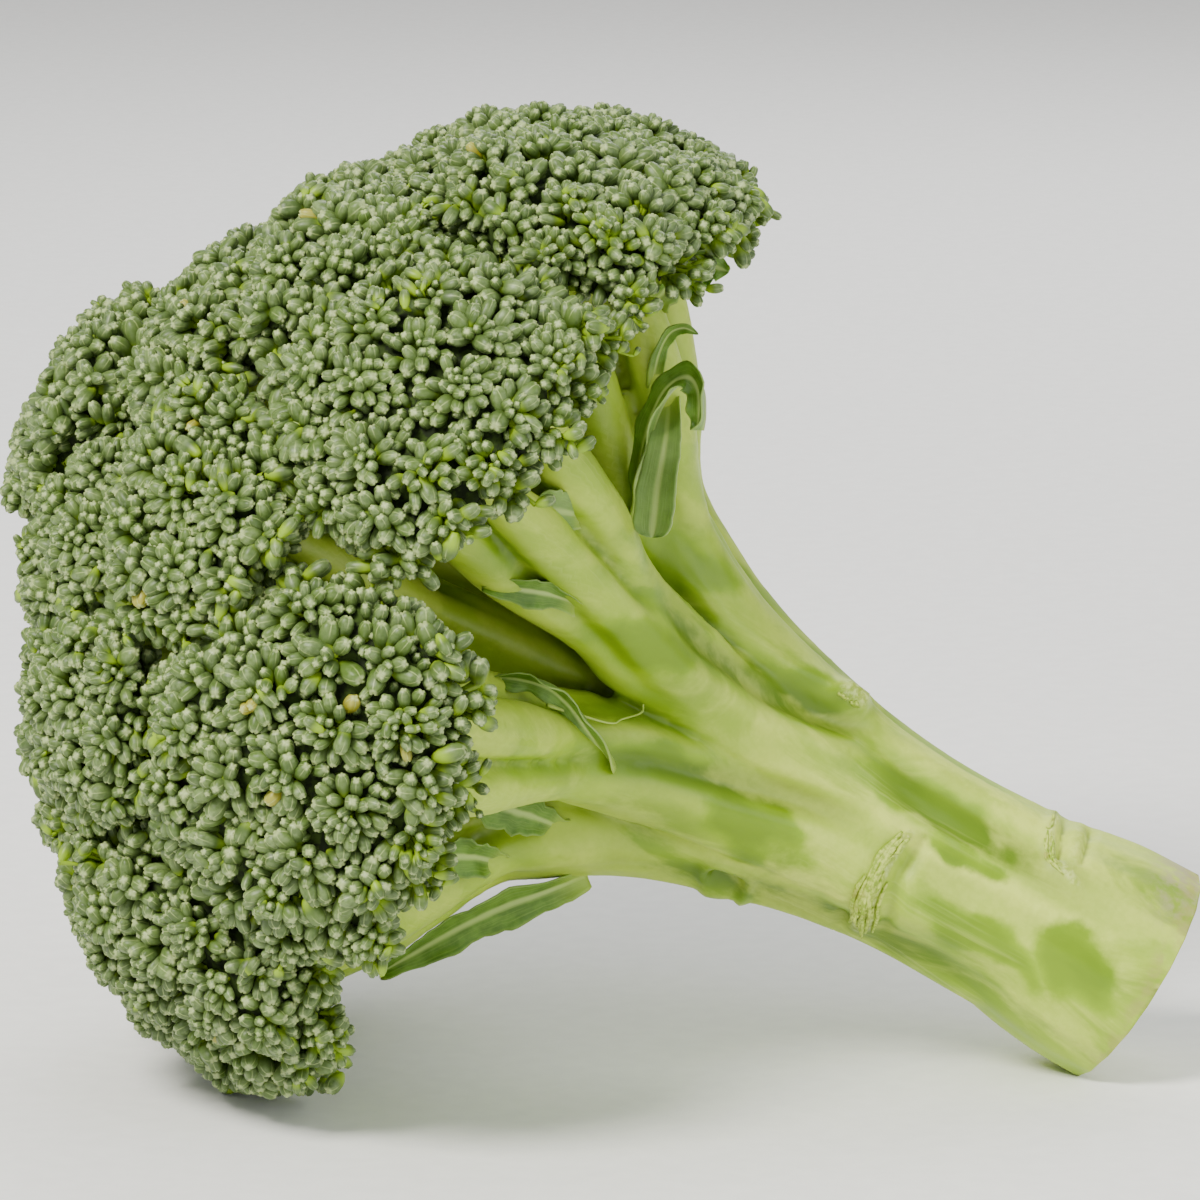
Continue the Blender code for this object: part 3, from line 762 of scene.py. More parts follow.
def cut_pith(skin, place):
    """The cut face: pale pith, a ring of whitish strands and a green edge."""
    flat = add(skin, "VectorMath", {0: place, 1: (1.0, 1.0, 0.0)}, operation="MULTIPLY")
    radius = add(skin, "VectorMath", {0: flat}, "Value", operation="LENGTH")
    uneven = add(skin, "TexNoise", {**LUMPS, "Vector": place, "Scale": 1 / 4.0})
    radius = add(skin, "Math", {0: uneven, 1: 1.6, 2: radius}, operation="MULTIPLY_ADD")
    mottle = add(skin, "TexNoise", {**LUMPS, "Vector": place, "Scale": 1 / 2.2})
    pith = add(skin, "Mix", {0: mottle, 6: "E4E9BE", 7: "CBD896"}, 2, **COLOURS)
    ring = add(skin, "MapRange", {0: radius, 1: 11.6, 2: 13.2}, **SOFT)
    pith = add(skin, "Mix", {0: ring, 6: pith, 7: "EEF0D2"}, 2, **COLOURS)
    strands = add(skin, "TexVoronoi", {"Vector": place, "Scale": 1 / 1.25}, "Distance")
    strands = add(skin, "MapRange", {0: strands, 1: 0.5, 2: 0.1}, **SOFT)
    strands = add(skin, "Math", {0: ring, 1: strands}, operation="MULTIPLY")
    pith = add(skin, "Mix", {0: strands, 6: pith, 7: "B9C77A"}, 2, **COLOURS)
    edge = add(skin, "MapRange", {0: radius, 1: 15.4, 2: 16.8}, **SOFT)
    return add(skin, "Mix", {0: edge, 6: pith, 7: "A9BE58"}, 2, **COLOURS)


def stalk_skin():
    """Crisp green skin under a patchy white bloom, with pale ribs and a pale cut face."""
    material = empty_material("stalk_skin_with_wax_bloom")
    skin = material.node_tree
    place = add(skin, "Attribute", {}, "Vector", attribute_name="place")
    grain = add(skin, "Attribute", {}, "Vector", attribute_name="grain")
    ridge = add(skin, "Attribute", {}, "Fac", attribute_name="ridge")
    rubbed = add(skin, "Attribute", {}, "Fac", attribute_name="rubbed")
    sure = add(skin, "Attribute", {}, "Fac", attribute_name="sure")
    sure = add(skin, "MapRange", {0: sure, 1: 0.75, 2: 1.0}, **SOFT)
    crumbs = add(skin, "TexNoise", {**LUMPS, "Vector": place, "Scale": 1 / 3.0, "Detail": 5.0})
    bare = add(skin, "Math", {0: crumbs, 1: 0.6, 2: rubbed}, operation="MULTIPLY_ADD")
    green = stalk_flesh(skin, place, ridge, bare)
    wax = wax_bloom(skin, place, grain, ridge, bare, sure)
    dust = add(skin, "TexNoise", {**LUMPS, "Vector": place, "Scale": 1 / 1.2, "Detail": 4.0})
    dust = add(skin, "MapRange", {0: dust, 1: 0.3, 2: 0.7, 3: 0.82}, **SOFT)
    dusty = add(skin, "Math", {0: wax, 1: dust}, operation="MULTIPLY")
    colour = add(skin, "Mix", {0: dusty, 6: green, 7: "CBDB5C"}, 2, **COLOURS)
    # Pale strands under the skin, half a millimetre apart, run along the branches.
    thread = add(skin, "VectorMath", {0: grain, 1: (1.0, 0.035, 1.0)}, operation="MULTIPLY")
    pale = add(skin, "TexNoise", {**LUMPS, "Vector": thread, "Scale": 1 / 0.55, "Detail": 2.0})
    pale = add(skin, "MapRange", {0: pale, 1: 0.45, 2: 0.75, 4: 0.2}, **SOFT)
    pale = add(skin, "Math", {0: pale, 1: sure}, operation="MULTIPLY")
    colour = add(skin, "Mix", {0: pale, 6: colour, 7: "D2E070"}, 2, **COLOURS)
    colour = dried_end(skin, place, healed_scars(skin, place, colour))
    cut = add(skin, "Attribute", {}, "Fac", attribute_name="cut")
    colour = add(skin, "Mix", {0: cut, 6: colour, 7: cut_pith(skin, place)}, 2, **COLOURS)
    fine = add(skin, "TexNoise", {**LUMPS, "Vector": place, "Scale": 1 / 0.35, "Detail": 2.0})
    fine = add(skin, "Math", {0: fine, 1: 0.4}, operation="MULTIPLY")
    relief = add(skin, "Math", {0: pale, 1: 2.4, 2: fine}, operation="MULTIPLY_ADD")
    relief = {"Height": relief, "Strength": 0.35, "Distance": 0.12 * MM}
    shader = {
        "Base Color": colour, "Normal": add(skin, "Bump", relief), "IOR": 1.42,
        "Roughness": add(skin, "MapRange", {0: wax, 3: 0.36, 4: 0.56}, **SOFT),
        "Subsurface Weight": 0.22, "Subsurface Radius": (1.0, 1.4, 0.35),
        "Subsurface Scale": 2.2 * MM,
    }
    add(skin, "OutputMaterial", {"Surface": add(skin, "BsdfPrincipled", shader)})
    return material


STALK_POINTS, STALK_FACES, STALK_ATTRIBUTES = grow_stalk()
add_piece(
    "stalk_and_branches", STALK_POINTS, STALK_FACES, stalk_skin(), STALK_ATTRIBUTES,
    ["stalk"],
)

# ---- The torn fibres of the leaf scars -----------------------------------------------
# Where a leaf was snapped off, the ends of its strands stay on the stalk as a low, rough
# crescent of dried, straw-green fibres, some of them frayed.

STALK_TREE = BVHTree.FromPolygons(list(map(Vector, STALK_POINTS)), STALK_FACES)
FIBRE_RADIUS = 0.2
# Each scar: the way its side looks, its line across and up that side, how many fibres
# it has, how far they lie off the line, and how high they stand up.
FRONT_SCARS = [
    ([(-13.0, 37.6), (-8, 39.8), (-2.5, 39.8), (2.6, 38.6)], 34, 0.8, 1.0),
    ([(7.4, 14), (8.6, 18.4), (12, 20.6), (15.6, 20.4)], 7, 0.3, 0.3),
    ([(15.0, 53.6), (15.2, 57.0)], 8, 0.35, 0.5),
]
FIBRES_AROUND = (16, 0.5, 0.6)
FRAYED_SHARE = 0.3


def in_front(across, up, toward):
    """A step given by its measures across, up and out of the head's front side."""
    return FRONT_ACROSS * across + FRONT_UP * up + FRONT * toward


def on_skin(start, way):
    """The point and the normal of the stalk's skin that a line meets first."""
    hit, normal, _, _ = STALK_TREE.ray_cast(Vector(start), Vector(way))
    if hit is None:
        hit, normal, _, _ = STALK_TREE.find_nearest(Vector(np.asarray(start) + way * 100.0))
    return np.array(hit), np.array(normal)


def torn_fibres(line, outer, aside, above, count, scatter, height):
    """Short fibres laid beside each other along a line across and up one side."""
    line = np.asarray(line, float)
    shares = np.linspace(0, 1, len(line))
    tubes = []
    for _ in range(count):
        first = 0.8 * rng.random() ** 2
        last = min(1.0, first + 0.18 + 0.3 * rng.random())
        shift = rng.normal(0, scatter) * (1.15 - first)
        frayed = rng.random() < FRAYED_SHARE
        rows = []
        for number, share in enumerate(np.linspace(first, last, 5)):
            across = np.interp(share, shares, line[:, 0]) + 0.15 * rng.normal()
            up = np.interp(share, shares, line[:, 1]) + shift + 0.12 * rng.normal()
            skin, normal = on_skin(outer * 100 + aside * across + above * up, -outer)
            rise = 0.1 + 0.4 * height * rng.random() * (1 - share * 0.5)
            rise += 0.9 * height * frayed * max(0, 1 - number)
            taper = 0.5 if number in (0, 4) else 1.0
            rows.append((*(skin + normal * rise), FIBRE_RADIUS * taper * (0.8 + height)))
        tubes.append(tube(smooth_path(rows, 3), 6))
    return tubes


def scar_fibre_skin():
    """Dried strands: straw-green, browner in places."""
    material = empty_material("dried_leaf_scar_fibres")
    skin = material.node_tree
    place = add(skin, "Attribute", {}, "Vector", attribute_name="place")
    shade = add(skin, "TexNoise", {**LUMPS, "Vector": place, "Scale": 1 / 0.7})
    shade = add(skin, "MapRange", {0: shade, 1: 0.35, 2: 0.65}, **SOFT)
    colour = add(skin, "Mix", {0: shade, 6: "C2D25C", 7: "88A422"}, 2, **COLOURS)
    brown = add(skin, "TexNoise", {**LUMPS, "Vector": place, "Scale": 1 / 2.4})
    brown = add(skin, "MapRange", {0: brown, 1: 0.58, 2: 0.7, 4: 0.5}, **SOFT)
    colour = add(skin, "Mix", {0: brown, 6: colour, 7: "807A2C"}, 2, **COLOURS)
    relief = add(skin, "TexNoise", {**LUMPS, "Vector": place, "Scale": 1 / 0.25})
    relief = {"Height": relief, "Strength": 0.4, "Distance": 0.08 * MM}
    shader = {
        "Base Color": colour, "Normal": add(skin, "Bump", relief), "Roughness": 0.62,
        "IOR": 1.45,
    }
    add(skin, "OutputMaterial", {"Surface": add(skin, "BsdfPrincipled", shader)})
    return material


def make_scar_fibres():
    tubes = []
    for line, count, scatter, height in FRONT_SCARS:
        row = (FRONT, FRONT_ACROSS, FRONT_UP, count, scatter, height)
        tubes += torn_fibres(line, *row)
    for place in SCARS_AROUND:
        outer, aside, arc = scar_around(*place)
        tubes += torn_fibres(arc, outer, aside, np.array((0, 0, 1.0)), *FIBRES_AROUND)
    points, faces = joined(tubes)
    add_piece(
        "leaf_scar_fibres", points, faces, scar_fibre_skin(), {"place": points}, ["stalk"],
    )


make_scar_fibres()

# ---- The small leaves ----------------------------------------------------------------
# At the forks of the branches the plant leaves small, soft leaves, some curled, some
# torn when the head was trimmed. Each is a thin blade, troughed along a paler midrib,
# and grows out of the stalk's skin.

LEAF_LENGTHWAYS = 7
LEAF_ACROSS = 13
LEAF_EDGE = 0.32
LEAF_MIDDLE = 0.75
MIDRIB_HEIGHT = 0.55
MIDRIB_WIDTH = 0.16

# Each leaf: its foot (across, up) on the front side, its course from there (across, up,
# toward the front), its width along that, how deep its trough is, the way its face
# looks, how far its edges wave, and how ragged they are.
LEAVES = {
    "leaf_loop": (
        (23.5, 95), [(0, 0, 0), (5.0, 2.2, 6), (11, 4, 9), (15.6, 4.6, 11),
                     (18.8, 4.0, 12), (20.4, 2.4, 12.5), (19.4, 0.4, 13), (16.6, -1.3, 13),
                     (14.4, -2.1, 12.5)],
        [2.4, 3.2, 3.6, 3.8, 4.0, 4.2, 4.0, 3.4, 1.4], 1.0, (-0.1, 0.8, 0.5), 0.25, 0.04,
    ),
    "leaf_tongue": (
        (40, 98), [(0, 0, 0), (-5, -2, 5), (-11, -4, 8), (-15, -5.6, 9), (-18.2, -6.9, 9)],
        [3.2, 4.6, 5.6, 5.8, 5.4], 0.8, (0, 0.3, 1), 0.2, 0.03,
    ),
    "leaf_fork": (
        (22.5, 94), [(0, 0, 0), (2, 4, 3), (5, 7.5, 4), (9, 10, 4), (13, 11.5, 4)],
        [2.2, 3.0, 3.0, 2.4, 0.7], 0.6, (0.7, 0, 0.7), 0.3, 0.05,
    ),
    "leaf_folded": (
        (8.6, 96), [(0, 0, 0), (-0.8, 4, 4), (-2.2, 8, 6), (-4.2, 12.5, 6.5)],
        [2.2, 4.0, 3.8, 0.8], 1.3, (-0.4, 0, 1), 0.4, 0.10,
    ),
    "leaf_long": (
        (-9.0, 81), [(0, 0, 0), (2.2, 4.5, 6), (4.4, 9, 9), (5.2, 13, 10.5),
                     (4.2, 17.5, 10.5), (2.2, 21.5, 9.5)],
        [2.6, 4.2, 3.8, 3.2, 2.6, 0.8], 1.1, (-0.6, 0.2, 0.7), 0.45, 0.06,
    ),
    "leaf_torn": (
        (-20.5, 83), [(0, 0, 0), (-0.5, 4, 4), (-1.2, 8, 6.5), (-1.6, 11.5, 8)],
        [3.4, 5.6, 6.6, 5.8], 0.8, (-0.2, 0, 1), 0.5, 0.16,
    ),
    "leaf_ear": (
        (-29, 88), [(0, 0, 0), (-1, 3.5, 5), (-2.5, 6.5, 7.5), (-4.4, 8.6, 8.5)],
        [3.2, 5.4, 5.4, 1.6], 1.3, (-0.2, -0.4, 1), 0.5, 0.12,
    ),
    "leaf_long_low": (
        (-25, 76), [(0, 0, 0), (-5, 4, 2), (-10, 8.5, 2.5), (-16, 12.8, 2), (-22, 16.5, 0),
                    (-27, 19.5, -2)],
        [3.0, 5.4, 6.4, 5.8, 4.4, 1.0], 1.3, (-0.4, -0.4, 0.8), 0.5, 0.08,
    ),
    "leaf_stub": (
        (19.6, 101.5), [(0, 0, 0), (-0.5, 1.6, 3), (-1.2, 3.6, 5), (-1.8, 5.8, 6)],
        [3.2, 5.2, 6.0, 5.4], 1.0, (0, -0.5, 0.9), 0.4, 0.07,
    ),
    "leaf_hook": (
        (41, 101.5), [(0, 0, 0), (4, 1, 4.5), (7, 1, 7), (8.6, -0.4, 8), (8.8, -2.6, 8)],
        [2.2, 2.4, 2.0, 1.6, 0.5], 0.5, (0, -0.5, 0.8), 0.2, 0.05,
    ),
    "leaf_ragged": (
        (51, 106.5), [(0, 0, 0), (3, -1, 2), (6, -2.4, 3), (8, -4.6, 4), (8.6, -7.2, 4)],
        [2.6, 5.2, 6.6, 5.4, 1.6], 1.2, (0.2, -0.6, 0.8), 0.8, 0.22,
    ),
}
PALE_LEAVES = ("leaf_tongue", "leaf_stub")
# The hair-thin strand that hangs from the foot of leaf_long: across and up.
TENDRIL = [(-4.0, 84.2), (-2.6, 82.6), (-0.6, 80.6), (0.6, 80.9)]


def on_stalk(across, up):
    """The point of the stalk's skin that far across and up its front side."""
    return on_skin(in_front(across, up, 100), -FRONT)[0]


def blade_faces(rows, columns):
    """The faces of a blade: its upper side, its under side, its edges and its ends."""
    count = rows * columns
    faces = []
    for i in range(rows - 1):
        for k in range(columns - 1):
            a, b = i * columns + k, (i + 1) * columns + k
            faces.append((a, a + 1, b + 1, b))
            faces.append((count + a, count + b, count + b + 1, count + a + 1))
        for k in (0, columns - 1):
            a, b = i * columns + k, (i + 1) * columns + k
            faces.append((a, b, count + b, count + a))
    last = (rows - 1) * columns
    for k in range(columns - 1):
        faces.append((k, k + 1, count + k + 1, count + k))
        faces.append((last + k, last + k + 1, count + last + k + 1, count + last + k))
    return faces


def leaf_blade(foot, course, widths, cup, face, wave, ragged, seed):
    """(points, faces, attributes) of one thin, closed blade."""
    root = on_stalk(*foot) - FRONT * 1.0
    rows = [(*(root + in_front(*step)), width) for step, width in zip(course, widths)]
    path = smooth_path(rows, LEAF_LENGTHWAYS)
    facing = in_front(*face)
    facing /= np.linalg.norm(facing)
    share = np.linspace(-1, 1, LEAF_ACROSS)
    upper, lower = [], []
    for i, row in enumerate(path):
        along = path[min(i + 1, len(path) - 1), :3] - path[max(i - 1, 0), :3]
        along /= np.linalg.norm(along)
        across = np.cross(along, facing)
        across /= np.linalg.norm(across)
        normal = np.cross(across, along)
        left = 1 + ragged * 2.2 * noise.noise(Vector((i * 0.55, seed * 3.1, 0.0)))
        right = 1 + ragged * 2.2 * noise.noise(Vector((i * 0.55, seed * 3.1, 9.0)))
        rounded = math.sqrt(1 - (1 - min(1.0, (len(path) - 1 - i + 0.12) / 5)) ** 2)
        half = row[3] / 2 * rounded * np.where(share < 0, left, right)
        rise = cup * (np.abs(share) ** 1.6 - 0.5)
        ripple = wave * np.abs(share) ** 2 * (
            np.sin(i * 0.62 + seed + 2.2 * np.sign(share))
            + 1.3 * noise.noise(Vector((i * 0.3, seed, 4.0)))
        )
        middle = row[:3] + across * (share * half)[:, None]
        middle = middle + normal * (rise + ripple)[:, None]
        grown = min(1.0, i / 6)
        thick = LEAF_EDGE + (LEAF_MIDDLE - LEAF_EDGE) * (1 - np.abs(share)) ** 1.5
        rib = MIDRIB_HEIGHT * np.exp(-((share / MIDRIB_WIDTH) ** 2))
        thick = thick + (1 - grown) * 0.6
        groove = 0.16 * np.exp(-((share / 0.10) ** 2))
        upper.append(middle + normal * (thick / 2 - groove)[:, None])
        lower.append(middle - normal * (thick / 2 + rib)[:, None])
    points = np.vstack(upper + lower)
    lengthways = np.repeat(np.arange(len(path)) / (len(path) - 1), LEAF_ACROSS)
    attributes = {
        "across": np.tile(share, 2 * len(path)),
        "along": np.tile(lengthways, 2),
        "under": np.repeat([0.0, 1.0], len(path) * LEAF_ACROSS),
        "place": points,
    }
    return points, blade_faces(len(path), LEAF_ACROSS), attributes


def leaf_skin():
    """Soft green blade: pale midrib and edge, fine veins, a greyer bloom underneath."""
    material = empty_material("leaf_blade_with_pale_midrib")
    blade = material.node_tree
    place = add(blade, "Attribute", {}, "Vector", attribute_name="place")
    across = add(blade, "Attribute", {}, "Fac", attribute_name="across")
    along = add(blade, "Attribute", {}, "Fac", attribute_name="along")
    under = add(blade, "Attribute", {}, "Fac", attribute_name="under")
    pale = add(blade, "Attribute", {}, "Fac", attribute_name="pale")
    patches = add(blade, "TexNoise", {**LUMPS, "Vector": place, "Scale": 1 / 2.4, "Detail": 4.0})
    darker = add(blade, "MapRange", {0: patches, 1: 0.35, 2: 0.65}, **SOFT)
    colour = add(blade, "Mix", {0: darker, 6: "4C7018", 7: "648A2C"}, 2, **COLOURS)
    bloom = add(blade, "Math", {0: under, 1: 0.55}, operation="MULTIPLY")
    colour = add(blade, "Mix", {0: bloom, 6: colour, 7: "86A45A"}, 2, **COLOURS)
    # Fine veins run nearly lengthways beside the midrib.
    spread = add(blade, "Math", {0: across, 1: 5.0}, operation="MULTIPLY")
    lengthways = add(blade, "CombineXYZ", {0: spread, 1: along})
    veins = add(blade, "TexNoise", {**LUMPS, "Vector": lengthways, "Scale": 1 / 0.55})
    veins = add(blade, "MapRange", {0: veins, 1: 0.48, 2: 0.66}, **SOFT)
    faint = add(blade, "Math", {0: veins, 1: 0.22}, operation="MULTIPLY")
    colour = add(blade, "Mix", {0: faint, 6: colour, 7: "96B452"}, 2, **COLOURS)
    pale = add(blade, "Math", {0: pale, 1: 0.5}, operation="MULTIPLY")
    colour = add(blade, "Mix", {0: pale, 6: colour, 7: "86A258"}, 2, **COLOURS)
    off = add(blade, "Math", {0: across}, operation="ABSOLUTE")
    rib = add(blade, "MapRange", {0: off, 1: 0.26, 2: 0.03, 4: 0.75}, **SOFT)
    colour = add(blade, "Mix", {0: rib, 6: colour, 7: "B4CA72"}, 2, **COLOURS)
    rim = add(blade, "MapRange", {0: off, 1: 0.88, 2: 1.0, 4: 0.45}, **SOFT)
    colour = add(blade, "Mix", {0: rim, 6: colour, 7: "A4BC66"}, 2, **COLOURS)
    foot = add(blade, "MapRange", {0: along, 1: 0.22, 2: 0.0, 4: 0.8}, **SOFT)
    colour = add(blade, "Mix", {0: foot, 6: colour, 7: "A5BE4C"}, 2, **COLOURS)
    fine = add(blade, "TexNoise", {**LUMPS, "Vector": place, "Scale": 1 / 0.5})
    relief = add(blade, "Math", {0: veins, 1: fine}, operation="ADD")
    relief = {"Height": relief, "Strength": 0.3, "Distance": 0.1 * MM}
    rough = {0: patches, 1: 0.3, 2: 0.7, 3: 0.38, 4: 0.52}
    shader = {
        "Base Color": colour, "Normal": add(blade, "Bump", relief), "IOR": 1.42,
        "Roughness": add(blade, "MapRange", rough, **SOFT),
        "Subsurface Weight": 0.15, "Subsurface Radius": (0.8, 1.3, 0.3),
        "Subsurface Scale": 0.8 * MM,
    }
    add(blade, "OutputMaterial", {"Surface": add(blade, "BsdfPrincipled", shader)})
    return material


def with_tendril(points, faces, attributes):
    """The leaf with its hair-thin strand laid down along the stalk's skin."""
    line = [(*points[len(points) // 4], 0.34)]
    for across, up in TENDRIL:
        line.append((*(on_stalk(across, up) + FRONT * 1.2), 0.16))
    hair, hair_faces = tube(smooth_path(line, 5), 6)
    points, faces = joined([(points, faces), (hair, hair_faces)])
    attributes = {
        key: np.concatenate([values, np.zeros((len(hair), *values.shape[1:]))])
        for key, values in attributes.items()
    }
    attributes["place"] = points
    return points, faces, attributes


def make_leaves():
    material = leaf_skin()
    for seed, (name, row) in enumerate(LEAVES.items()):
        points, faces, attributes = leaf_blade(*row, seed + 1)
        attributes["pale"] = np.full(len(points), float(name in PALE_LEAVES))
        if name == "leaf_long":
            points, faces, attributes = with_tendril(points, faces, attributes)
        add_piece(name + "_blade", points, faces, material, attributes, [name])


make_leaves()

# ---- The bud heads -------------------------------------------------------------------
# Each floret is a branching spray of stems as thin as a millimetre. On every stem's end
# sits one closed flower bud, four grey-green sepals that meet in a pale point. The
# buds stand in round tufts, small in a tuft's middle and fuller round its edge.

TUFT_SPACING = 9.6
BUD_SMALL = 1.25
BUD_LARGE = 2.35
BUD_SIDES = 12
# The profile of a bud from its stem to its tip: (share of its length, share of radius).
BUD_PROFILE = [
    (0.0, 0.30), (0.09, 0.52), (0.25, 0.80), (0.45, 0.96), (0.66, 1.0), (0.84, 0.88),
    (0.95, 0.64), (1.0, 0.30),
]
BUD_STRETCH = 1.85
# How the gaps are filled: tries, size, how far from other buds, and how deep.
FILLINGS = [(2600, 2.3, 0.76, 0.45, 1.4), (3000, 1.8, 0.62, 0.4, 2.7)]
SIDE_GROWTH = 1.7
# How far a tuft reaches, where in it the buds are full-grown, and how closely they pack.
TUFT_REACH = 8.6
FULL_SIZE_REACH = 4.2
PACKING = 0.27
# How far outward a skin must face, from -1 to 1, to carry tufts, single buds or lining,
# and below which it is the floret's rim, where the buds stand thinner.
TUFTS_FACE = -0.05
BUDS_FACE = -0.22
RIM_FACE = 0.35
FLORET_VOXEL = 1.4
# The stems: how deep under a tuft they part, how long each bud's own is, and its shape.
PARTING_DEPTH = 8.2
BUD_STEM = 6.0
STEM_SIDES = 6
STEM_PROFILE = [(0.0, 0.8), (0.7, 0.75), (1.0, 1.15)]
# How deep under the floret's skin the dark sheet of painted shade lies, at its top and at its
# bottom.
SHADE_LINING_TOP = 4.4
SHADE_LINING_LOW = 5.8
GOLDEN_TURN = math.radians(137.508)


def bud_template():
    """A bud of unit length and radius: points, faces, and where its seams and tip are."""
    points = []
    seam = []
    tip = []
    for share, radius in BUD_PROFILE:
        for k in range(BUD_SIDES):
            turn = 2 * math.pi * k / BUD_SIDES
            on_seam = 1.0 if k % 3 == 0 else 0.0
            late = max(0.0, share - 0.75) * 4
            pinch = 1 - on_seam * (0.11 * min(1.0, share * 3) + 0.12 * late)
            rise = share - 0.05 * on_seam * late
            points.append((radius * pinch * math.cos(turn), radius * pinch * math.sin(turn), rise))
            seam.append(on_seam)
            tip.append(share)
    points.append((0, 0, 0.0))
    points.append((0, 0, 0.95))
    seam += [0.0, 1.0]
    tip += [0.0, 1.0]
    faces = ring_faces(len(BUD_PROFILE), BUD_SIDES)
    last = (len(BUD_PROFILE) - 1) * BUD_SIDES
    for k in range(BUD_SIDES):
        after = (k + 1) % BUD_SIDES
        faces.append((after, k, len(points) - 2, -1))
        faces.append((last + k, last + after, len(points) - 1, -1))
    return np.array(points), np.array(faces), np.array(seam), np.array(tip)


def fast_mesh(name, points, faces):
    """A mesh from arrays: faces of four corners, or of three and a -1."""
    data = bpy.data.meshes.new(name)
    data.vertices.add(len(points))
    data.vertices.foreach_set("co", np.asarray(points, np.float32).ravel())
    sizes = np.where(faces[:, 3] < 0, 3, 4)
    corners = faces.ravel()
    corners = corners[corners >= 0]
    data.loops.add(len(corners))
    data.loops.foreach_set("vertex_index", corners.astype(np.int32))
    data.polygons.add(len(faces))
    starts = np.concatenate([[0], np.cumsum(sizes)[:-1]])
    data.polygons.foreach_set("loop_start", starts.astype(np.int32))
    data.update(calc_edges=True)
    data.validate()
    return data


def bases_from(axes, spin):
    """A right-handed set of axes for each bud, its third along the bud."""
    helper = np.where(np.abs(axes[:, 2:3]) < 0.9, [[0, 0, 1.0]], [[1.0, 0, 0]])
    first = np.cross(helper, axes)
    first /= np.linalg.norm(first, axis=1)[:, None]
    second = np.cross(axes, first)
    c, s = np.cos(spin)[:, None], np.sin(spin)[:, None]
    return np.stack([first * c + second * s, second * c - first * s, axes], axis=1)


def copies(template, faces, origins, bases, scales):
    """A template's points and faces, once for each place."""
    scaled = template[None] * scales[:, None, :]
    points = np.einsum("bpk,bkx->bpx", scaled, bases) + origins[:, None, :]
    shift = (np.arange(len(origins)) * len(template))[:, None, None]
    many = np.where(faces[None] < 0, -1, faces[None] + shift)
    return points.reshape(-1, 3), many.reshape(-1, 4)


def floret_skin(index):
    """The floret's solid as a smooth skin of small faces, pressed against the next."""
    points, faces = cad_surface(FLORETS[index])
    data = remeshed(points, faces, FLORET_VOXEL, 4)
    skin = points_of(data)
    radial = skin - np.array(HUB)
    radial /= np.linalg.norm(radial, axis=1)[:, None]
    normals = points_of(data, "normal")
    aside = normals - radial * (normals * radial).sum(1)[:, None]
    skin = skin + aside * SIDE_GROWTH
    data.calc_loop_triangles()
    triangles = np.array([tuple(t.vertices) for t in data.loop_triangles])
    bpy.data.meshes.remove(data)
    return skin, triangles


def measured(points, triangles):
    """Each triangle's middle, normal and area, and how far outward it faces."""
    corners = points[triangles]
    cross = np.cross(corners[:, 1] - corners[:, 0], corners[:, 2] - corners[:, 0])
    area = np.linalg.norm(cross, axis=1)
    normals = cross / np.maximum(area, 1e-12)[:, None]
    middles = corners.mean(1)
    radial = middles - np.array(HUB)
    radial /= np.linalg.norm(radial, axis=1)[:, None]
    return middles, normals, area, (normals * radial).sum(1)


def tuft_centres(points, triangles):
    """Places over the outside of a floret, evenly but not regularly apart."""
    middles, normals, area, facing = measured(points, triangles)
    outside = facing > TUFTS_FACE
    chance = area * outside
    tries = min(3000, int(outside.sum()))
    order = rng.choice(len(middles), size=tries, replace=False, p=chance / chance.sum())
    kept = []
    for i in order:
        spacing = TUFT_SPACING * (0.86 + 0.28 * rng.random())
        if all(np.linalg.norm(middles[i] - middles[j]) > spacing for j in kept):
            kept.append(i)
    return middles[kept], normals[kept]


def tuft_buds(tree, centre, normal, others):
    """The buds of one tuft: their tips, directions and sizes."""
    helper = np.array((0, 0, 1.0)) if abs(normal[2]) < 0.9 else np.array((1.0, 0, 0))
    east = np.cross(helper, normal)
    east /= np.linalg.norm(east)
    north = np.cross(normal, east)
    turn = rng.random() * 2 * math.pi
    reach = 0.0
    full = 0.84 + 0.3 * rng.random()
    rows = []
    while reach < TUFT_REACH:
        share = min(1.0, reach / FULL_SIZE_REACH)
        size = (BUD_SMALL + (BUD_LARGE - BUD_SMALL) * share ** 0.8) * full
        size *= 0.84 + 0.32 * rng.random()
        reach = math.sqrt(reach * reach + PACKING * size * size)
        turn += GOLDEN_TURN
        jitter = rng.normal(0, 0.10 * size, 2)
        across, along = reach * math.cos(turn) + jitter[0], reach * math.sin(turn) + jitter[1]
        flat = centre + east * across + north * along
        if min(np.linalg.norm(others - flat, axis=1), default=99) < reach - 0.9:
            continue
        near, face_normal, _, _ = tree.find_nearest(Vector(flat))
        if (np.array(near) - flat) @ (np.array(near) - flat) > 16:
            continue
        face_normal = np.array(face_normal)
        fan = (east * across + north * along) / max(reach, 0.1)
        rows.append((np.array(near), face_normal, fan, reach, size))
    return rows


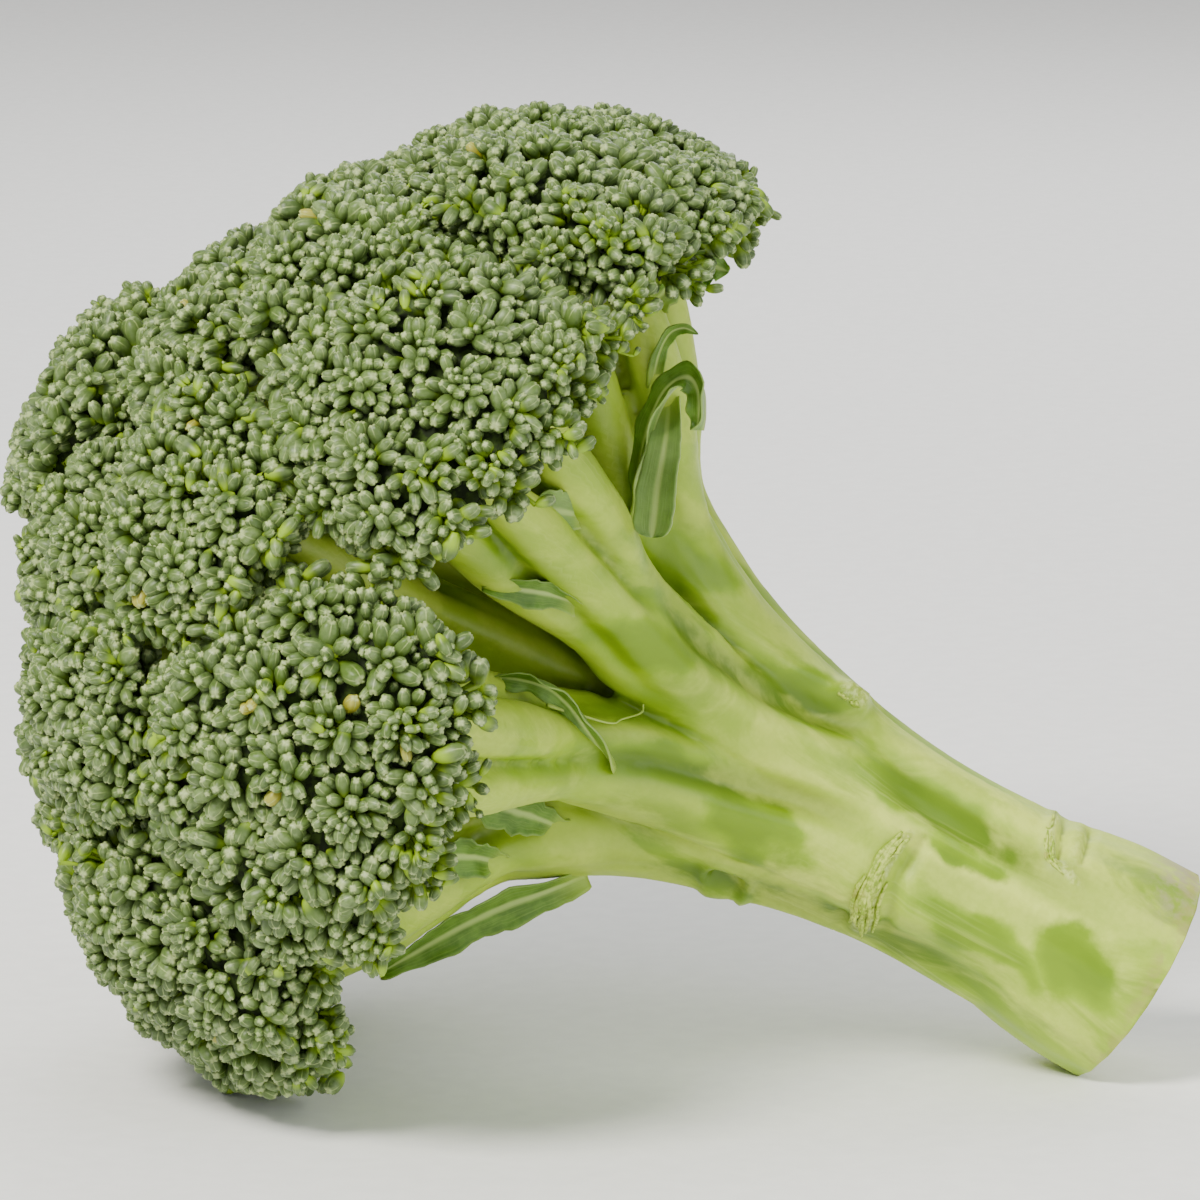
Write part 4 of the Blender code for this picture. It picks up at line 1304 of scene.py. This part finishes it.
def floret_buds(index):
    """All of a floret's buds as arrays, and its tufts' centres."""
    points, triangles = floret_skin(index)
    tree = BVHTree.FromPolygons([tuple(p) for p in points], [tuple(map(int, t)) for t in triangles])
    centres, normals = tuft_centres(points, triangles)
    inner = under_floret(index, 0.0, 0.0)[0]
    found = []
    for i, (centre, normal) in enumerate(zip(centres, normals)):
        others = np.delete(centres, i, axis=0)
        tone = rng.random()
        for near, face_normal, fan, reach, size in tuft_buds(tree, centre, normal, others):
            radial = near - np.array(HUB)
            radial /= np.linalg.norm(radial)
            if face_normal @ radial < BUDS_FACE:
                continue
            away = near - inner
            away /= np.linalg.norm(away)
            lean = min(1.0, reach / 5.0)
            loose = looseness(near, face_normal)
            wander = 0.2 + 0.14 * loose
            axis = 0.45 * face_normal + 0.3 * away + 1.1 * lean * fan + rng.normal(0, wander, 3)
            drop = 1.7 * min(1.2, reach / 6.0) ** 2 + 0.8 * rng.random() - 0.1
            drop -= 1.2 * loose * rng.random()
            if face_normal @ radial < RIM_FACE:
                if rng.random() < 0.25:
                    continue
                drop -= 2.6 * rng.random() ** 2
            axis /= np.linalg.norm(axis)
            tip = near - face_normal * drop
            found.append((*tip, *axis, size * (1 - 0.12 * loose), tone, i, loose))
    for filling in FILLINGS:
        found += filler_buds(points, triangles, centres, inner, np.array(found), *filling)
    return np.array(found), centres, normals


def looseness(place, normal):
    """How far a place's buds have begun to part, from 0 to 1: most at the lower rims."""
    lumps = noise.noise(Vector(place) / 15.0 + Vector((3.0, 8.0, 1.0)))
    patch = min(1.0, max(0.0, (lumps - 0.2) * 5))
    return min(1.0, patch + min(1.0, max(0.0, 0.1 - 1.6 * normal[2])))


def filler_buds(points, triangles, centres, inner, buds, tries, full, near_share, near_add, deep):
    """Single buds that fill what the others leave bare."""
    middles, normals, area, facing = measured(points, triangles)
    chance = area * (facing > BUDS_FACE)
    picks = rng.choice(len(middles), tries, p=chance / chance.sum())
    taken = np.vstack([buds[:, :3], np.full((tries, 3), 1e6)])
    rows = []
    for i in picks:
        size = full * (0.8 + 0.3 * rng.random())
        near = middles[i]
        if ((taken - near) ** 2).sum(1).min() < (near_share * size + near_add) ** 2:
            continue
        taken[len(buds) + len(rows)] = near
        away = near - inner
        away /= np.linalg.norm(away)
        axis = 0.6 * normals[i] + 0.4 * away + rng.normal(0, 0.3, 3)
        axis /= np.linalg.norm(axis)
        tip = near - normals[i] * (deep + 0.8 * rng.random())
        tuft = np.argmin(((centres - near) ** 2).sum(1))
        rows.append((*tip, *axis, size, rng.random(), tuft, looseness(near, normals[i])))
    return rows


def thinned(buds):
    """Leaves out buds that would sit inside another."""
    middles = buds[:, :3] - buds[:, 3:6] * buds[:, 6:7] * 0.7
    tree = kdtree.KDTree(len(middles))
    for i, point in enumerate(middles):
        tree.insert(point, i)
    tree.balance()
    keep = np.ones(len(buds), bool)
    for i in range(len(buds)):
        if not keep[i]:
            continue
        for _, j, away in tree.find_range(middles[i], 2.2):
            if j > i and keep[j] and away < 0.33 * (buds[i, 6] + buds[j, 6]):
                keep[j] = False
    return keep


def bud_skin():
    """Grey-green sepals under a matt bloom, with pale seams and a yellow-green foot."""
    material = empty_material("closed_flower_buds")
    bud = material.node_tree
    place = add(bud, "Attribute", {}, "Vector", attribute_name="place")
    tip = add(bud, "Attribute", {}, "Fac", attribute_name="tip")
    seam = add(bud, "Attribute", {}, "Fac", attribute_name="seam")
    tone = add(bud, "Attribute", {}, "Fac", attribute_name="tone")
    chance = add(bud, "Attribute", {}, "Fac", attribute_name="chance")
    loose = add(bud, "Attribute", {}, "Fac", attribute_name="loose")
    sepals = add(bud, "Mix", {0: tone, 6: "456210", 7: "50662C"}, 2, **COLOURS)
    dark = add(bud, "MapRange", {0: chance, 4: 0.8}, **SOFT)
    sepals = add(bud, "Mix", {0: dark, 6: sepals, 7: "304716"}, 2, **COLOURS)
    # Each bud carries more or less of the bloom, which thins out toward its foot.
    bloom = add(bud, "TexNoise", {**LUMPS, "Vector": place, "Scale": 1 / 0.9})
    bloom = add(bud, "MapRange", {0: bloom, 1: 0.3, 2: 0.75, 3: 0.15, 4: 0.85}, **SOFT)
    frosted = add(bud, "Math", {0: chance, 1: 7.0}, operation="MULTIPLY")
    frosted = add(bud, "Math", {0: frosted}, operation="FRACT")
    frosted = add(bud, "MapRange", {0: frosted, 3: 0.45, 4: 1.1}, **SOFT)
    frost = add(bud, "Math", {0: bloom, 1: frosted}, operation="MULTIPLY")
    grey = add(bud, "Mix", {0: frost, 6: sepals, 7: "798E58"}, 2, **COLOURS)
    upper = add(bud, "MapRange", {0: tip, 1: 0.25, 2: 0.75}, **SOFT)
    colour = add(bud, "Mix", {0: upper, 6: sepals, 7: grey}, 2, **COLOURS)
    # Buds that have parted show more of their yellow-green foot.
    parted = add(bud, "Math", {0: loose, 1: -0.3, 2: tip}, operation="MULTIPLY_ADD")
    foot = add(bud, "MapRange", {0: parted, 1: 0.45, 2: 0.02}, **SOFT)
    colour = add(bud, "Mix", {0: foot, 6: colour, 7: "86A61C"}, 2, **COLOURS)
    yellow = add(bud, "MapRange", {0: chance, 1: 0.9975, 2: 0.9985, 4: 0.7}, **SOFT)
    colour = add(bud, "Mix", {0: yellow, 6: colour, 7: "A8A02C"}, 2, **COLOURS)
    near_tip = add(bud, "MapRange", {0: tip, 1: 0.45, 2: 0.95, 4: 0.6}, **SOFT)
    seam = add(bud, "MapRange", {0: seam, 1: 0.78, 2: 1.0}, **SOFT)
    line = add(bud, "Math", {0: seam, 1: near_tip}, operation="MULTIPLY")
    colour = add(bud, "Mix", {0: line, 6: colour, 7: "B8CB80"}, 2, **COLOURS)
    point = add(bud, "MapRange", {0: tip, 1: 0.95, 2: 1.0, 4: 0.55}, **SOFT)
    colour = add(bud, "Mix", {0: point, 6: colour, 7: "C2D290"}, 2, **COLOURS)
    relief = add(bud, "TexNoise", {**LUMPS, "Vector": place, "Scale": 1 / 0.25, "Detail": 2.0})
    relief = {"Height": relief, "Strength": 0.3, "Distance": 0.05 * MM}
    shader = {
        "Base Color": colour, "Normal": add(bud, "Bump", relief), "Roughness": 0.44,
        "IOR": 1.45, "Subsurface Weight": 0.12, "Subsurface Radius": (0.9, 1.2, 0.4),
        "Subsurface Scale": 0.8 * MM,
    }
    add(bud, "OutputMaterial", {"Surface": add(bud, "BsdfPrincipled", shader)})
    return material


def stem_skin():
    """Tender yellow-green stems, with painted shade that turns them near black deep inside the
    floret.
    """
    material = empty_material("flower_stems_with_painted_shade")
    stem = material.node_tree
    place = add(stem, "Attribute", {}, "Vector", attribute_name="place")
    depth = add(stem, "Attribute", {}, "Fac", attribute_name="depth")
    mottle = add(stem, "TexNoise", {**LUMPS, "Vector": place, "Scale": 1 / 3.0})
    colour = add(stem, "Mix", {0: mottle, 6: "93B122", 7: "7C9C1E"}, 2, **COLOURS)
    # Painted shade: by the depth attribute the stems and the lining under the buds are mixed toward
    # near-black greens, in patches.
    shade_patches = add(stem, "TexNoise", {**LUMPS, "Vector": place, "Scale": 1 / 1.3})
    shade_patches = add(stem, "MapRange", {0: shade_patches, 1: 0.4, 2: 0.6}, **SOFT)
    shade = add(stem, "Mix", {0: shade_patches, 6: "151F06", 7: "30440E"}, 2, **COLOURS)
    colour = add(stem, "Mix", {0: depth, 6: colour, 7: shade}, 2, **COLOURS)
    long = add(stem, "VectorMath", {0: place, 1: (1.0, 1.0, 0.3)}, operation="MULTIPLY")
    relief = add(stem, "TexNoise", {**LUMPS, "Vector": long, "Scale": 1 / 0.4})
    relief = {"Height": relief, "Strength": 0.25, "Distance": 0.05 * MM}
    rough = {0: depth, 1: 0.5, 2: 1.0, 3: 0.45, 4: 0.95}
    shader = {
        "Base Color": colour, "Normal": add(stem, "Bump", relief), "IOR": 1.42,
        "Roughness": add(stem, "MapRange", rough, **SOFT),
        "Subsurface Weight": 0.1, "Subsurface Radius": (1.0, 1.4, 0.4),
        "Subsurface Scale": 1.0 * MM,
    }
    add(stem, "OutputMaterial", {"Surface": add(stem, "BsdfPrincipled", shader)})
    return material


def stem_cone():
    """A thin stem of unit length from the origin up, slightly thicker at its end."""
    points = []
    for share, radius in STEM_PROFILE:
        for k in range(STEM_SIDES):
            turn = 2 * math.pi * k / STEM_SIDES
            points.append((radius * math.cos(turn), radius * math.sin(turn), share))
    caps = [(0, k + 1, k, -1) for k in range(1, STEM_SIDES - 1)]
    return np.array(points), np.array(ring_faces(len(STEM_PROFILE), STEM_SIDES) + caps)


def umbel_stems(index, centres, normals, buds):
    """The stems inside a floret: one to each tuft, and one to each bud."""
    branch = PATHS[index + 1] if index < len(PATHS) - 1 else PATHS[0]
    ends = np.array([path[-1, :3] for path in branch])
    hubs = centres - normals * PARTING_DEPTH
    parts = []
    for hub, normal in zip(hubs, normals):
        nearest = ends[np.argmin(np.linalg.norm(ends - hub, axis=1))]
        start = nearest - (hub - nearest) * 0.15
        bend = nearest + (hub - nearest) * 0.5 + rng.normal(0, 0.6, 3) - normal * 0.8
        rows = [(*start, 1.9), (*bend, 1.5), (*hub, 1.25), (*(hub + normal * 2.5), 1.1)]
        parts.append(tube(smooth_path(rows, 3), 8))
    points, faces = joined(parts)
    faces = np.array([face for face in faces if len(face) == 4])
    template, cone_faces = stem_cone()
    length = buds[:, 6] * BUD_STRETCH
    head = buds[:, :3] - buds[:, 3:6] * length[:, None] * 0.93
    step = head - hubs[buds[:, 8].astype(int)]
    far = np.linalg.norm(step, axis=1)
    axes = step / far[:, None]
    short = np.minimum(far, BUD_STEM)
    thick = buds[:, 6] * 0.2
    bases = bases_from(axes, np.zeros(len(axes)))
    scales = np.column_stack([thick, thick, short])
    start = head - axes * short[:, None]
    stem_points, stem_faces = copies(template, cone_faces, start, bases, scales)
    stem_points = kept_off_floor(stem_points, len(template))
    stem_faces = np.where(stem_faces < 0, -1, stem_faces + len(points))
    # Painted shade: the lower half of each bud's stem and the stems to the tufts are marked to be
    # darkened as shade deep in the floret.
    stem_depth = np.tile((template[:, 2] < 0.5) * 0.6, len(buds))
    depth = np.concatenate([np.full(len(points), 0.55), stem_depth])
    return np.vstack([points, stem_points]), np.vstack([faces, stem_faces]), depth


def floret_shade_lining(index):
    """A dark sheet just under the buds that closes the gaps: painted shade that stands for the
    shaded crowded stems there.
    """
    points, triangles = floret_skin(index)
    _, face_normals, _, facing = measured(points, triangles)
    normals = np.zeros_like(points)
    for k in range(3):
        np.add.at(normals, triangles[:, k], face_normals)
    normals /= np.maximum(np.linalg.norm(normals, axis=1), 1e-9)[:, None]
    outer = facing > TUFTS_FACE
    used = np.unique(triangles[outer])
    number = np.full(len(points), -1)
    number[used] = np.arange(len(used))
    lumps = 0.5 * noise_at(points[used], 2.5, 6)[:, None]
    top = points[used] - normals[used] * (SHADE_LINING_TOP + lumps)
    low = points[used] - normals[used] * SHADE_LINING_LOW
    upper = number[triangles[outer]]
    lower = upper[:, ::-1] + len(used)
    edges = np.vstack([upper[:, [0, 1]], upper[:, [1, 2]], upper[:, [2, 0]]])
    keys = {tuple(edge) for edge in edges}
    border = [edge for edge in edges if (edge[1], edge[0]) not in keys]
    walls = [(b, a, a + len(used), b + len(used)) for a, b in border]
    flat = np.column_stack([np.vstack([upper, lower]), np.full(2 * len(upper), -1)])
    return np.vstack([top, low]), np.vstack([flat, np.array(walls)])


def kept_off_floor(points, size):
    """Lifts each copy of a template that would reach below the floor."""
    depth = laid_down(points)[:, 2].reshape(-1, size).min(1) / MM
    lift = np.repeat(np.maximum(0.0, 0.05 - depth), size)
    return points + lift[:, None] * AXES[:, 2]


def make_florets():
    template, faces, seam, tip = bud_template()
    bud_material = bud_skin()
    stem_material = stem_skin()
    every = [floret_buds(index) for index in range(len(FLORETS))]
    owner = np.concatenate([np.full(len(row[0]), i) for i, row in enumerate(every)])
    keep = thinned(np.vstack([row[0] for row in every]))
    for index, (buds, centres, normals) in enumerate(every):
        buds = buds[keep[owner == index]]
        name = FLORETS[index]
        length = buds[:, 6] * BUD_STRETCH * (0.88 + 0.24 * rng.random(len(buds)))
        radius = buds[:, 6] * 0.52 * (0.88 + 0.24 * rng.random(len(buds)))
        flat = radius * (0.84 + 0.16 * rng.random(len(buds)))
        bases = bases_from(buds[:, 3:6], rng.random(len(buds)) * 2 * math.pi)
        origins = buds[:, :3] - buds[:, 3:6] * length[:, None]
        scales = np.column_stack([radius, flat, length])
        points, many = copies(template, faces, origins, bases, scales)
        points = kept_off_floor(points, len(template))
        data = fast_mesh(name + "_buds", laid_down(points), many)
        chance = np.repeat(rng.random(len(buds)), len(template))
        tone = np.clip(buds[:, 7] * 0.6 + 0.4 * rng.random(len(buds)), 0, 1)
        add_attributes(data, {
            "tip": np.tile(tip, len(buds)), "seam": np.tile(seam, len(buds)),
            "tone": np.repeat(tone, len(template)), "chance": chance, "place": points,
            "loose": np.repeat(buds[:, 9], len(template)),
        })
        finish_piece(name + "_buds", data, bud_material, [name])
        stem_points, stem_faces, depth = umbel_stems(index, centres, normals, buds)
        shade_lining_points, shade_lining_faces = floret_shade_lining(index)
        shade_lining_faces = np.where(shade_lining_faces < 0, -1, shade_lining_faces + len(stem_points))
        stem_points = kept_off_floor(np.vstack([stem_points, shade_lining_points]), 1)
        stem_faces = np.vstack([stem_faces, shade_lining_faces])
        # The lining is painted shade all through.
        depth = np.concatenate([depth, np.ones(len(shade_lining_points))])
        data = fast_mesh(name + "_stems", laid_down(stem_points), stem_faces)
        add_attributes(data, {"place": stem_points, "depth": depth})
        finish_piece(name + "_stems", data, stem_material, [name])


make_florets()

# ---- The floor, the light and the camera ---------------------------------------------
# A white sheet on a table, lit by large soft lamps.

FLOOR_HALF = 3.0


def white_paper():
    """Smooth matt paper, barely mottled."""
    material = empty_material("white_paper")
    paper = material.node_tree
    place = add(paper, "TexCoord", {}, "Object")
    mottle = add(paper, "TexNoise", {**LUMPS, "Vector": place, "Scale": 1 / (4 * MM)})
    mottle = add(paper, "MapRange", {0: mottle, 1: 0.3, 2: 0.7}, **SOFT)
    colour = add(paper, "Mix", {0: mottle, 6: "F4F4F2", 7: "F8F8F6"}, 2, **COLOURS)
    shader = {"Base Color": colour, "Roughness": 0.9, "IOR": 1.4}
    add(paper, "OutputMaterial", {"Surface": add(paper, "BsdfPrincipled", shader)})
    return material


floor_data = bpy.data.meshes.new("floor")
floor_data.from_pydata(
    [(-FLOOR_HALF, -FLOOR_HALF, 0), (FLOOR_HALF, -FLOOR_HALF, 0),
     (FLOOR_HALF, FLOOR_HALF, 0), (-FLOOR_HALF, FLOOR_HALF, 0)],
    [], [(0, 1, 2, 3)],
)
floor_data.materials.append(white_paper())
floor = bpy.data.objects.new("floor", floor_data)
bpy.context.scene.collection.objects.link(floor)


def soft_lamp(name, place, aim, size, watts, colour):
    lamp = bpy.data.lights.new(name, "AREA")
    lamp.shape = "DISK"
    lamp.size = size
    lamp.energy = watts
    lamp.color = linear(colour)[:3]
    obj = bpy.data.objects.new(name, lamp)
    bpy.context.scene.collection.objects.link(obj)
    obj.location = place
    obj.rotation_euler = (Vector(aim) - Vector(place)).to_track_quat("-Z", "Y").to_euler()


AIM = (0, 0, 0.07)
soft_lamp("key", (-0.55, -0.75, 1.0), AIM, 0.45, 27, "FFFBF2")
soft_lamp("fill", (0.9, -0.7, 0.5), AIM, 0.9, 5, "F6FAFF")
soft_lamp("back", (0.2, 0.9, 0.8), AIM, 0.9, 7, "FFFFFF")

ROOM_BRIGHTNESS = 0.62
world = bpy.data.worlds.new("studio")
world.use_nodes = True
room = world.node_tree.nodes["Background"]
room.inputs["Color"].default_value = (1, 1, 1, 1)
room.inputs["Strength"].default_value = ROOM_BRIGHTNESS
bpy.context.scene.world = world

camera_data = bpy.data.cameras.new("camera")
camera = bpy.data.objects.new("camera", camera_data)
bpy.context.scene.collection.objects.link(camera)
CAMERA_DISTANCE = 1.05
CAMERA_LENS = 218.6
CAMERA_ELEVATION = math.radians(11)
CAMERA_AIM = Vector((-0.0002, 0, 0.0694))
camera_back = Vector((0, -math.cos(CAMERA_ELEVATION), math.sin(CAMERA_ELEVATION)))
camera.location = CAMERA_AIM + camera_back * CAMERA_DISTANCE
camera.rotation_euler = (-camera_back).to_track_quat("-Z", "Y").to_euler()
camera_data.lens = CAMERA_LENS
camera_data.dof.use_dof = False
bpy.context.scene.camera = camera
